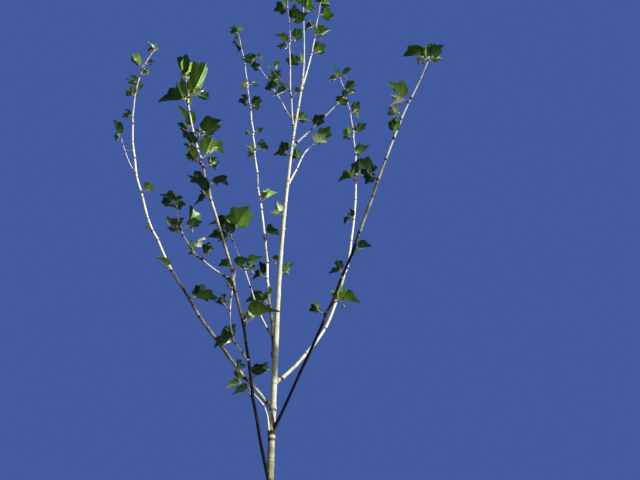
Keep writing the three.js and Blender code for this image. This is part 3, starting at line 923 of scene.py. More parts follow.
@dataclass
class MeshParts:
    """Gathers vertices, faces, finishes and point values, and makes one object of them."""

    vertices: list[np.ndarray] = field(default_factory=list)
    faces: list[np.ndarray] = field(default_factory=list)
    finishes: list[np.ndarray] = field(default_factory=list)
    values: dict[str, list[np.ndarray]] = field(default_factory=dict)
    count: int = 0

    def add(self, vertices: np.ndarray, faces: list[np.ndarray], **values: np.ndarray | float) -> None:
        """Adds one shape, with the first finish.

        Args:
            vertices: its points, one row each.
            faces: arrays of corner numbers, one array for each number of corners.
            **values: what each point carries: one number or three, or one for the whole shape.
        """
        self.add_faces(faces, 0)
        for name, value in values.items():
            if np.ndim(value) == 0:
                value = np.full(len(vertices), float(value))
            self.values.setdefault(name, []).append(np.asarray(value, dtype=float))
        self.vertices.append(vertices)
        self.count += len(vertices)

    def add_faces(self, faces: list[np.ndarray], finish: int) -> None:
        """Adds faces whose corners are counted from the next shape's first point.

        Args:
            faces: arrays of corner numbers, one array for each number of corners.
            finish: the number of their material.
        """
        for block in faces:
            self.faces.append(np.asarray(block) + self.count)
            self.finishes.append(np.full(len(block), finish))

    @property
    def triangles(self) -> int:
        """How many triangles the faces come to."""
        return sum(len(block) * (block.shape[1] - 2) for block in self.faces)

    def build(self, name: str, materials: list[bpy.types.Material], crease: float = 50.0) -> bpy.types.Object:
        """Makes the object.

        Args:
            name: the piece's name.
            materials: its materials, in the order of their numbers.
            crease: the angle in degrees from which an edge shows sharp.

        Returns:
            The object, linked to the scene.
        """
        mesh = bpy.data.meshes.new(name)
        mesh.vertices.add(self.count)
        mesh.vertices.foreach_set("co", np.concatenate(self.vertices).ravel())
        corners = np.concatenate([block.ravel() for block in self.faces])
        sizes = np.concatenate([np.full(len(block), block.shape[1]) for block in self.faces])
        mesh.loops.add(len(corners))
        mesh.loops.foreach_set("vertex_index", corners.astype(np.int32))
        mesh.polygons.add(len(sizes))
        starts = np.concatenate([[0], np.cumsum(sizes)[:-1]])
        mesh.polygons.foreach_set("loop_start", starts.astype(np.int32))
        mesh.polygons.foreach_set("material_index", np.concatenate(self.finishes).astype(np.int32))
        mesh.update(calc_edges=True)
        for key, blocks in self.values.items():
            value = np.concatenate(blocks)
            kind, field_name = ("FLOAT", "value") if value.ndim == 1 else ("FLOAT_VECTOR", "vector")
            mesh.attributes.new(key, kind, "POINT").data.foreach_set(field_name, value.ravel())
        mesh.shade_smooth()
        mesh.set_sharp_from_angle(angle=math.radians(crease))
        for material in materials:
            mesh.materials.append(material)
        return linked(name, mesh)


def linked(name: str, data: bpy.types.ID) -> bpy.types.Object:
    """An object with that data, linked to the scene.

    Args:
        name: the object's name.
        data: its mesh, light or camera.

    Returns:
        The object.
    """
    made = bpy.data.objects.new(name, data)
    bpy.context.scene.collection.objects.link(made)
    return made


def carried_frames(points: Vector) -> tuple[Vector, Vector]:
    """Two directions square to a line at each of its points, carried along without a twist.

    Args:
        points: the line's points.

    Returns:
        The first and the second direction at each point.
    """
    tangents = np.gradient(points, axis=0)
    tangents /= np.linalg.norm(tangents, axis=1)[:, None]
    sideways = np.empty_like(points)
    carried = np.eye(3)[np.argmin(np.abs(tangents[0]))]
    for i, tangent in enumerate(tangents):
        carried = unit(carried - tangent * carried.dot(tangent))
        sideways[i] = carried
    return sideways, np.cross(tangents, sideways)


def tube(points: Vector, radii: np.ndarray, sides: int) -> tuple[np.ndarray, list[np.ndarray]]:
    """A closed tube through points.

    Args:
        points: the middle of each ring.
        radii: one radius for each ring, or one for each corner of each ring.
        sides: the corners of a ring.

    Returns:
        The vertices, ring by ring, and the faces: the quads of the wall and the two caps.
    """
    sideways, across = carried_frames(points)
    angles = np.arange(sides) * math.tau / sides
    radii = np.broadcast_to(np.asarray(radii).reshape(len(points), -1), (len(points), sides))
    round_it = (sideways[:, None] * np.cos(angles)[None, :, None]
                + across[:, None] * np.sin(angles)[None, :, None])
    vertices = (points[:, None] + radii[:, :, None] * round_it).reshape(-1, 3)
    rings = np.arange(len(points) * sides).reshape(len(points), sides)
    after = np.roll(rings, -1, axis=1)
    wall = np.stack([rings[:-1], after[:-1], after[1:], rings[1:]], axis=-1).reshape(-1, 4)
    return vertices, [wall, rings[:1, ::-1], rings[-1:]]


def sagging(start: Vector, end: Vector, shares: np.ndarray, sag: float) -> Vector:
    """Points of a line that sags between its ends, by up to a quarter of sag times its length."""
    reach = end - start
    return start + np.outer(shares, reach) + np.outer(shares**2 - shares, UP) * sag * np.linalg.norm(reach)


def curved(start: Vector, control: Vector, end: Vector, count: int) -> Vector:
    """A count of points of the curve from start to end that heads for the control point first."""
    t = np.linspace(0, 1, count)[:, None]
    return start * (1 - t) ** 2 + control * 2 * t * (1 - t) + end * t**2


# Finishes


@dataclass
class ShaderTree:
    """A node tree with short ways to add nodes and to join them."""

    tree: bpy.types.NodeTree

    def add(self, kind: str, inputs: dict[int | str, object] | None = None,
            **settings: object) -> bpy.types.Node:
        """Adds a node.

        Args:
            kind: the node's type.
            inputs: what its input sockets, by number or name, are given: a value or another socket.
            **settings: its properties.

        Returns:
            The node.
        """
        node = self.tree.nodes.new(kind)
        for name, value in settings.items():
            setattr(node, name, value)
        for key, value in (inputs or {}).items():
            self.feed(node.inputs[key], value)
        return node

    def feed(self, socket: bpy.types.NodeSocket, value: object) -> None:
        """Joins another socket to the socket, or sets its own value.

        Args:
            socket: the input socket.
            value: the other socket, or the value.
        """
        if isinstance(value, bpy.types.NodeSocket):
            self.tree.links.new(value, socket)
        else:
            socket.default_value = value

    def math(self, operation: str, *values: object) -> bpy.types.NodeSocket:
        """What a mathematical operation makes of the values."""
        return self.add("ShaderNodeMath", dict(enumerate(values)), operation=operation).outputs[0]

    def blend(self, share: object, low: object, high: object) -> bpy.types.NodeSocket:
        """A colour between two colours."""
        inputs = {0: share, 6: low, 7: high}
        return self.add("ShaderNodeMix", inputs, data_type="RGBA", clamp_factor=True).outputs[2]

    def spread(self, value: object, low: float, high: float, to_low: float = 0.0,
               to_high: float = 1.0) -> bpy.types.NodeSocket:
        """The value's place between low and high, mapped smoothly on to another range."""
        inputs = {0: value, 1: low, 2: high, 3: to_low, 4: to_high}
        return self.add("ShaderNodeMapRange", inputs, interpolation_type="SMOOTHSTEP").outputs[0]

    def noise(self, place: object, scale: float, detail: float) -> bpy.types.NodeSocket:
        """Soft noise round a half."""
        inputs = {"Vector": place, "Scale": scale, "Detail": detail, "Roughness": 0.5}
        return self.add("ShaderNodeTexNoise", inputs).outputs[0]

    def stretched(self, place: object, lengthwise: float) -> bpy.types.NodeSocket:
        """A place on a limb, scaled along the limb only."""
        return self.add("ShaderNodeMapping", {"Vector": place, "Scale": (1, 1, lengthwise)}).outputs[0]

    def carried(self, name: str, output: str = "Fac") -> bpy.types.NodeSocket:
        """A value that the mesh's points carry."""
        return self.add("ShaderNodeAttribute", attribute_name=name).outputs[output]

    def placed(self, group: bpy.types.NodeTree, **values: object) -> bpy.types.bpy_prop_collection:
        """The outputs of a placed group, whose inputs' names have spaces for the values' underscores."""
        inputs = {name.replace("_", " ").title(): value for name, value in values.items()}
        return self.add("ShaderNodeGroup", inputs, node_tree=group).outputs

    def shiny(self, base: object, roughness: object, gloss: float, height: object, strength: float,
              depth: float) -> None:
        """Puts the principled shader at the end of a material.

        Args:
            base: the base colour's value or source.
            roughness: the roughness socket's value or source.
            gloss: how much the surface mirrors, 0.5 for most things.
            height: what the bump reads.
            strength: the bump's strength.
            depth: the bump's depth in metres.
        """
        bump = self.add("ShaderNodeBump", {"Height": height, "Strength": strength, "Distance": depth})
        shader = self.add("ShaderNodeBsdfPrincipled", {
            "Base Color": base, "Roughness": roughness, "Specular IOR Level": gloss,
            "Normal": bump.outputs[0]})
        self.add("ShaderNodeOutputMaterial", {"Surface": shader.outputs[0]})


FLOAT = "NodeSocketFloat"
COLOUR = "NodeSocketColor"
PLACE = "NodeSocketVector"


class GroupTree(ShaderTree):
    """A new node group's tree, with the sockets that it is given and those that it makes."""

    def __init__(self, name: str, given: dict[str, str], made: dict[str, str]) -> None:
        """Makes the empty group.

        Args:
            name: its name.
            given: the kind of each input socket, by name.
            made: the kind of each output socket, by name.
        """
        super().__init__(bpy.data.node_groups.new(name, "ShaderNodeTree"))
        for way, sockets in (("INPUT", given), ("OUTPUT", made)):
            for socket, kind in sockets.items():
                self.tree.interface.new_socket(name=socket, in_out=way, socket_type=kind)
        self.given = self.add("NodeGroupInput").outputs

    def finished(self, made: dict[str, bpy.types.NodeSocket]) -> bpy.types.NodeTree:
        """The group, with its output sockets fed by name."""
        self.add("NodeGroupOutput", made)
        return self.tree


@dataclass(frozen=True)
class Mottling:
    """Bark's soft patches, lengthwise grain and corky specks, from a place along the limb.

    A scale is a noise's, to the metre, and a stretch is its share of that along the limb.
    """

    patch_scale: float = 85.0
    patch_stretch: float = 0.3
    grain_scale: float = 420.0
    grain_stretch: float = 0.08
    speck_scale: float = 260.0
    speck_stretch: float = 1.8
    speck_range: tuple[float, float] = (0.63, 0.72)
    grain_height: float = 0.4
    speck_height: float = 0.35

    def group(self) -> bpy.types.NodeTree:
        """Builds the effect.

        Returns:
            Its node group.
        """
        tree = GroupTree("Bark mottling", {"Place": PLACE},
                         {"Patches": FLOAT, "Grain": FLOAT, "Specks": FLOAT, "Height": FLOAT})
        place = tree.given["Place"]
        patches = tree.noise(tree.stretched(place, self.patch_stretch), self.patch_scale, detail=3)
        grain = tree.noise(tree.stretched(place, self.grain_stretch), self.grain_scale, detail=2)
        dots = tree.noise(tree.stretched(place, self.speck_stretch), self.speck_scale, detail=1)
        specks = tree.spread(dots, *self.speck_range)
        raised = tree.math("MULTIPLY", grain, self.grain_height)
        height = tree.math("ADD", raised, tree.math("MULTIPLY", specks, self.speck_height))
        return tree.finished({"Patches": patches, "Grain": grain, "Specks": specks, "Height": height})


@dataclass(frozen=True)
class Marking:
    """Dark scars and pale rings laid over a bark colour."""

    scar_range: tuple[float, float] = (0.15, 0.65)

    def group(self) -> bpy.types.NodeTree:
        """Builds the effect.

        Returns:
            Its node group.
        """
        tree = GroupTree(
            "Marks on bark",
            {"Bark": COLOUR, "Scar Colour": COLOUR, "Scar": FLOAT, "Ring Colour": COLOUR, "Ring": FLOAT},
            {"Colour": COLOUR})
        given = tree.given
        ringed = tree.blend(given["Ring"], given["Bark"], given["Ring Colour"])
        scars = tree.spread(given["Scar"], *self.scar_range)
        return tree.finished({"Colour": tree.blend(scars, ringed, given["Scar Colour"])})


@dataclass(frozen=True)
class Veining:
    """A blade's colour with its paler veins, its rim, the leaf's own lighter or darker tone and painted shade
    that darkens it towards the rim.
    """

    vein_power: float = 5.0
    vein_share: float = 0.6
    rim_power: float = 7.0
    rim_share: float = 0.5
    blotch_scale: float = 130.0
    blotch_range: tuple[float, float, float, float] = (0.3, 0.7, 0.0, 0.3)
    shade_range: tuple[float, float, float, float] = (0.25, 0.85, 0.0, 0.5)

    def group(self) -> bpy.types.NodeTree:
        """Builds the effect.

        Returns:
            Its node group.
        """
        tree = GroupTree(
            "Blade veins",
            {"Blade": COLOUR, "Vein Colour": COLOUR, "Rim Colour": COLOUR, "Vein": FLOAT, "Rim": FLOAT,
             "Tone": FLOAT, "Place": PLACE},
            {"Colour": COLOUR, "Height": FLOAT})
        given = tree.given
        veins = tree.math("POWER", given["Vein"], self.vein_power)
        rims = tree.math("POWER", given["Rim"], self.rim_power)
        blotches = tree.spread(tree.noise(given["Place"], self.blotch_scale, detail=2), *self.blotch_range)
        veined = tree.blend(tree.math("MULTIPLY", veins, self.vein_share), given["Blade"],
                            given["Vein Colour"])
        rimmed = tree.blend(tree.math("MULTIPLY", rims, self.rim_share), veined, given["Rim Colour"])
        # Painted shade: the blade darkens towards its rim and stays lighter in its middle.
        shade = tree.spread(given["Rim"], *self.shade_range)
        light = tree.math("SUBTRACT", tree.math("ADD", given["Tone"], blotches), shade)
        toned = tree.add("ShaderNodeHueSaturation",
                         {"Color": rimmed, "Value": tree.math("ADD", light, 1.0)})
        return tree.finished({"Colour": toned.outputs[0], "Height": veins})


class Effects:
    """The node groups that several finishes share, each built once."""

    def __init__(self) -> None:
        """Builds the groups."""
        self.mottling = Mottling().group()
        self.marking = Marking().group()
        self.veining = Veining().group()


Colour = tuple[float, float, float, float]


def colour(red: float, green: float, blue: float) -> Colour:
    """A solid colour in linear light."""
    return (red, green, blue, 1.0)


def empty_material(name: str) -> tuple[bpy.types.Material, ShaderTree]:
    """A material with no nodes.

    Args:
        name: its name.

    Returns:
        The material and its tree.
    """
    material = bpy.data.materials.new(name)
    material.use_nodes = True
    material.node_tree.nodes.clear()
    return material, ShaderTree(material.node_tree)


@dataclass(frozen=True)
class BarkFinish:
    """Smooth young bark, which runs from the colour of thin shoots to that of the oldest wood. On the boughs
    its darkest colours are partly painted shade.
    """

    name: str
    stops: tuple[tuple[float, Colour], ...]
    patch_colour: Colour
    scar_colour: Colour = colour(0.035, 0.024, 0.017)
    ring_colour: Colour = colour(0.62, 0.56, 0.40)
    roughness: tuple[float, float] = (0.48, 0.72)
    patching: float = 0.05
    streaking: float = 0.06
    specking: float = 0.16
    ageing: tuple[float, float] = (-0.08, 0.08)
    middle_range: tuple[float, float] = (0.3, 0.7)
    patch_range: tuple[float, float] = (0.52, 0.72)
    streak_range: tuple[float, float] = (0.48, 0.66)
    gloss: float = 0.2
    bump_strength: float = 0.5
    bump_depth: float = 0.0006

    def material(self, effects: Effects) -> bpy.types.Material:
        """The finish, whose meshes carry their places in its colours, which on the boughs are partly painted
        shade, and their scars, rings and place along the limb.

        Args:
            effects: the shared node groups.

        Returns:
            The material.
        """
        material, tree = empty_material(self.name)
        mottling = tree.placed(effects.mottling, place=tree.carried("grain", "Vector"))
        patches, grain = mottling["Patches"], mottling["Grain"]
        ramp = tree.add("ShaderNodeValToRGB")
        while len(ramp.color_ramp.elements) < len(self.stops):
            ramp.color_ramp.elements.new(0.5)
        for element, (share, stop) in zip(ramp.color_ramp.elements, self.stops):
            element.position, element.color = share, stop
        ageing = tree.spread(patches, *self.middle_range, *self.ageing)
        tree.feed(ramp.inputs[0], tree.math("ADD", tree.carried("age"), ageing))
        patching = tree.spread(patches, *self.patch_range, 0, self.patching)
        patched = tree.blend(patching, ramp.outputs[0], self.patch_colour)
        streaks = tree.spread(grain, *self.streak_range, 0, self.streaking)
        streaked = tree.blend(streaks, patched, self.patch_colour)
        specks = tree.math("MULTIPLY", mottling["Specks"], self.specking)
        marked = tree.placed(
            effects.marking, bark=tree.blend(specks, streaked, self.scar_colour),
            scar_colour=self.scar_colour, scar=tree.carried("scar"),
            ring_colour=self.ring_colour, ring=tree.carried("ring"))
        rough = tree.spread(grain, *self.middle_range, *self.roughness)
        tree.shiny(marked["Colour"], rough, self.gloss, mottling["Height"], self.bump_strength,
                   self.bump_depth)
        return material


@dataclass(frozen=True)
class LeafFinish:
    """The upper side of a blade of one tint."""

    name: str
    blade: Colour
    vein: Colour
    rim: Colour
    roughness: float = 0.42
    gloss: float = 0.4
    bump_strength: float = 0.6
    vein_depth: float = 0.0005

    def material(self, effects: Effects) -> bpy.types.Material:
        """The finish, whose meshes carry their veins, rims and the leaf's tone.

        Args:
            effects: the shared node groups.

        Returns:
            The material.
        """
        material, tree = empty_material(self.name)
        veining = tree.placed(
            effects.veining, blade=self.blade, vein_colour=self.vein, rim_colour=self.rim,
            vein=tree.carried("vein"), rim=tree.carried("rim"), tone=tree.carried("tone"),
            place=tree.add("ShaderNodeTexCoord").outputs["Object"])
        tree.shiny(veining["Colour"], self.roughness, self.gloss, veining["Height"], self.bump_strength,
                   self.vein_depth)
        return material


@dataclass(frozen=True)
class UnderFinish(LeafFinish):
    """The under side of a blade of one tint, which is duller and has prouder veins."""

    roughness: float = 0.60
    gloss: float = 0.1
    vein_depth: float = 0.0007


@dataclass(frozen=True)
class SoftFinish:
    """Leaf stalks, buds or seed balls: a soft colour with patches of another."""

    name: str
    plain_colour: Colour
    patch_colour: Colour
    roughness: float = 0.55
    gloss: float = 0.5
    patch_scale: float = 90.0
    patch_range: tuple[float, float] = (0.35, 0.65)
    bump_strength: float = 0.3
    bump_depth: float = 0.0004

    def material(self) -> bpy.types.Material:
        """The finish.

        Returns:
            The material.
        """
        material, tree = empty_material(self.name)
        place = tree.add("ShaderNodeTexCoord").outputs["Object"]
        patches = tree.noise(place, self.patch_scale, detail=2)
        base = tree.blend(tree.spread(patches, *self.patch_range), self.plain_colour, self.patch_colour)
        tree.shiny(base, self.roughness, self.gloss, patches, self.bump_strength, self.bump_depth)
        return material


OLD_BARK = BarkFinish(
    "trunk bark",
    stops=(
        (0.0, colour(0.48, 0.42, 0.38)), (0.22, colour(0.74, 0.73, 0.64)), (0.42, colour(0.59, 0.58, 0.43)),
        (0.62, colour(0.27, 0.26, 0.155)), (1.0, colour(0.21, 0.195, 0.115)),
    ),
    patch_colour=colour(0.29, 0.275, 0.165),
    patching=0.25,
    streaking=0.55,
)

YOUNG_BARK = BarkFinish(
    "bough bark",
    # The two darkest stops colour the boughs' dark stretches: partly darker bark and partly painted shade,
    # where the wood lies in shade.
    stops=(
        (0.0, colour(0.34, 0.23, 0.20)), (0.2, colour(0.60, 0.49, 0.45)), (0.42, colour(0.82, 0.81, 0.73)),
        (0.58, colour(0.66, 0.65, 0.49)), (0.76, colour(0.20, 0.18, 0.11)),
        (0.92, colour(0.007, 0.008, 0.011)),
    ),
    patch_colour=colour(0.58, 0.55, 0.40),
    ring_colour=colour(0.75, 0.70, 0.58),
    patching=0.008,
    streaking=0.008,
    gloss=0.06,
)

TWIG_BARK = BarkFinish(
    "twig bark",
    stops=(
        (0.0, colour(0.40, 0.44, 0.20)), (0.35, colour(0.46, 0.42, 0.26)), (0.7, colour(0.42, 0.34, 0.25)),
        (1.0, colour(0.34, 0.27, 0.20)),
    ),
    patch_colour=colour(0.52, 0.47, 0.34),
)

LEAF_FINISHES = {
    # DEEP_AND_SHADED's dark greens are partly painted shade: the leaves stand dark as if no light came
    # through them.
    Tint.DEEP_AND_SHADED: (
        LeafFinish("deep_and_shaded blade above", blade=colour(0.024, 0.080, 0.020), vein=colour(0.065, 0.14, 0.03),
                   rim=colour(0.04, 0.10, 0.02)),
        UnderFinish("deep_and_shaded blade below", blade=colour(0.024, 0.068, 0.032), vein=colour(0.07, 0.13, 0.05),
                    rim=colour(0.03, 0.07, 0.025)),
    ),
    Tint.MID: (
        LeafFinish("mid blade above", blade=colour(0.055, 0.152, 0.022), vein=colour(0.14, 0.25, 0.05),
                   rim=colour(0.10, 0.20, 0.04)),
        UnderFinish("mid blade below", blade=colour(0.068, 0.172, 0.042), vein=colour(0.15, 0.27, 0.07),
                    rim=colour(0.10, 0.19, 0.04)),
    ),
    # FRESH_AND_LIT's yellow-greens, brighter underneath than above, are partly painted light: the glow of
    # leaves that the sun shines through.
    Tint.FRESH_AND_LIT: (
        LeafFinish("fresh_and_lit blade above", blade=colour(0.145, 0.300, 0.026), vein=colour(0.27, 0.40, 0.06),
                   rim=colour(0.22, 0.36, 0.05), roughness=0.45),
        UnderFinish("fresh_and_lit blade below", blade=colour(0.205, 0.400, 0.055), vein=colour(0.34, 0.52, 0.10),
                    rim=colour(0.30, 0.48, 0.07)),
    ),
    Tint.PALE: (
        LeafFinish("pale blade above", blade=colour(0.300, 0.420, 0.150), vein=colour(0.52, 0.62, 0.36),
                   rim=colour(0.72, 0.78, 0.58), roughness=0.60, gloss=0.3, vein_depth=0.0004),
        UnderFinish("pale blade below", blade=colour(0.800, 0.900, 0.500), vein=colour(0.88, 0.94, 0.64),
                    rim=colour(0.94, 0.96, 0.80), roughness=0.85, gloss=0.2, vein_depth=0.0005),
    ),
}

STALKS = SoftFinish("leaf stalks", plain_colour=colour(0.42, 0.50, 0.20),
                    patch_colour=colour(0.56, 0.58, 0.32))
BUDS = SoftFinish("buds", plain_colour=colour(0.15, 0.075, 0.040), patch_colour=colour(0.25, 0.17, 0.08),
                  roughness=0.4, patch_scale=200.0)
BALLS = SoftFinish("seed balls", plain_colour=colour(0.34, 0.32, 0.17),
                   patch_colour=colour(0.22, 0.17, 0.09), roughness=0.8, patch_scale=900.0)


# Wood: the trunk and the limbs with their relief


@dataclass(frozen=True)
class Knot:
    """A swelling on a limb where a bud, a tuft or a side limb sits."""

    at: float
    toward: Vector
    swell: float
    reach: float
    dark: float
    bud: bool


@dataclass(frozen=True)
class KnotKind:
    """What knots of one kind share.

    Swelling and reach are each a length in metres and a share of the wood's radius, added up. Dark and
    stout dark are how dark the scar is on slender and on stout wood.
    """

    swell: float
    swell_share: float
    reach: float
    reach_share: float
    dark: float
    stout_dark: float
    bud: bool = True
    stout_radius: float = 0.010

    def knot(self, at: float, bearing: float, girth: float) -> Knot:
        """One knot of the kind.

        Args:
            at: its place along the limb in metres.
            bearing: where it faces, in degrees.
            girth: the wood's radius there.

        Returns:
            The knot.
        """
        dark = self.dark if girth < self.stout_radius else self.stout_dark
        swell = self.swell_share * girth + self.swell
        reach = self.reach_share * girth + self.reach
        return Knot(at, heading(bearing, 90), swell, reach, dark, self.bud)


SIDE_LIMB_KNOT = KnotKind(swell=0.0, swell_share=0.16, reach=0.012, reach_share=0.7, dark=0.6,
                          stout_dark=0.6, bud=False)
TUFT_KNOT = KnotKind(swell=0.0014, swell_share=0.2, reach=0.011, reach_share=0.0, dark=0.9, stout_dark=0.45)
BARE_NODE = KnotKind(swell=0.0008, swell_share=0.14, reach=0.010, reach_share=0.0, dark=0.85, stout_dark=0.4)


@dataclass(frozen=True)
class GrowthRing:
    """A ring right round the wood, with its shares of the scars' and of the rings' colour."""

    at: float
    rise: float
    width: float
    dark: float
    pale: float = 0.0

    def moved(self, *steps: float) -> list[GrowthRing]:
        """The ring moved along the wood by each step in metres."""
        return [replace(self, at=self.at + step) for step in steps]


# The rings that a winter bud leaves, and the wrinkles at a limb's foot

TRUNK_WINTER = [
    *GrowthRing(0.0, rise=0.0006, width=0.0028, dark=0.25, pale=0.8).moved(-0.011, 0.0, 0.008),
    GrowthRing(-0.0055, rise=-0.0002, width=0.002, dark=0.34),
]
LIMB_WINTER = GrowthRing(0.0, rise=0.0003, width=0.0018, dark=0.3, pale=0.5).moved(-0.006, 0.0, 0.005)
FOOT_WRINKLES = [
    GrowthRing(0.0, rise=0.0003, width=0.0028, dark=0.9),
    GrowthRing(0.012, rise=0.0003, width=0.0028, dark=0.55),
    GrowthRing(0.022, rise=0.0003, width=0.0028, dark=0.35),
]


@dataclass(frozen=True)
class LimbLook:
    """What sets one limb's wood apart, at shares of its length.

    Age is its place in the bark's colours, from 0 to 1, and girth its share of the plain radius. On the
    boughs its dark stretches are partly darker bark and partly painted shade, laid where the wood lies in
    shade.
    """

    ages: tuple[tuple[float, float], ...]
    girths: tuple[tuple[float, float], ...] = ((0.0, 1.0), (1.0, 1.0))

    def age(self, share: Numbers) -> Numbers:
        """The age at shares of the length, with the painted shade of a bough's dark stretches."""
        return np.interp(share, *zip(*self.ages))

    def girth(self, share: Numbers) -> Numbers:
        """The share of the plain radius at shares of the length."""
        return np.interp(share, *zip(*self.girths))


# On the boughs the long runs and short dips towards the dark end are partly darker bark and partly painted
# shade, where the wood lies in shade.
LIMB_LOOKS = {
    "trunk": LimbLook(
        ages=((0, 0.95), (0.26, 0.85), (0.31, 0.72), (0.335, 0.64), (0.339, 0.4), (0.37, 0.36), (0.5, 0.34),
              (0.75, 0.26), (1, 0.12))),
    "far_left": LimbLook(
        ages=((0, 0.55), (0.08, 0.6), (0.12, 0.86), (0.18, 0.66), (0.24, 0.88), (0.3, 0.46), (0.5, 0.42),
              (0.62, 0.35), (0.75, 0.2), (0.9, 0.12), (1, 0.1)),
        girths=((0, 0.78), (0.4, 0.92), (0.6, 1.15), (1, 1.1))),
    "front_left": LimbLook(
        ages=((0, 1), (0.3, 0.98), (0.38, 0.84), (0.48, 0.66), (0.56, 0.8), (0.63, 0.5), (0.7, 0.74),
              (0.78, 0.45), (1, 0.35)),
        girths=((0, 0.7), (0.4, 0.9), (0.6, 1.15), (1, 1.1))),
    "back_left": LimbLook(
        ages=((0, 0.82), (0.1, 0.78), (0.16, 0.5), (0.24, 0.7), (0.3, 0.42), (0.6, 0.4), (0.85, 0.5),
              (1, 0.3)),
        girths=((0, 0.8), (0.4, 0.92), (0.6, 1.15), (1, 1.1))),
    "inner_right": LimbLook(
        ages=((0, 0.62), (0.16, 0.55), (0.21, 0.44), (0.27, 0.66), (0.33, 0.42), (0.52, 0.42), (0.56, 0.64),
              (0.6, 0.45), (0.8, 0.5), (1, 0.4)),
        girths=((0, 0.8), (0.3, 0.92), (0.5, 1.15), (1, 1.1))),
    "far_right": LimbLook(
        ages=((0, 1), (0.22, 0.98), (0.27, 0.9), (0.36, 0.95), (0.45, 0.9), (0.48, 0.73), (0.58, 0.71),
              (0.6, 0.84), (0.61, 0.67), (0.68, 0.64), (0.69, 0.42), (0.85, 0.42), (0.93, 0.66), (1, 0.5)),
        girths=((0, 0.7), (0.4, 0.9), (0.5, 1.2), (1, 1.12))),
}
SIDE_LOOK = LimbLook(ages=((0, 0.6), (0.3, 0.45), (1, 0.25)))


@dataclass(frozen=True)
class Waves:
    """Relief made of a few waves over a limb, each with a length and whole turns drawn from a range."""

    count: int
    lengths: tuple[float, float]
    turns: tuple[int, int]
    height: float

    def relief(self, along: np.ndarray, angles: np.ndarray, rng: np.random.Generator) -> np.ndarray:
        """The relief of a limb's surface.

        Args:
            along: the places of its rings along it in metres.
            angles: the places of its corners round it in radians.
            rng: the limb's draws.

        Returns:
            The height at each corner of each ring.
        """
        total = np.zeros((len(along), len(angles)))
        for _ in range(self.count):
            wave = math.tau / rng.uniform(*self.lengths)
            turns, phase = int(rng.integers(*self.turns)), rng.uniform(0, math.tau)
            total += np.sin(wave * along[:, None] + turns * angles[None] + phase)
        return total * self.height


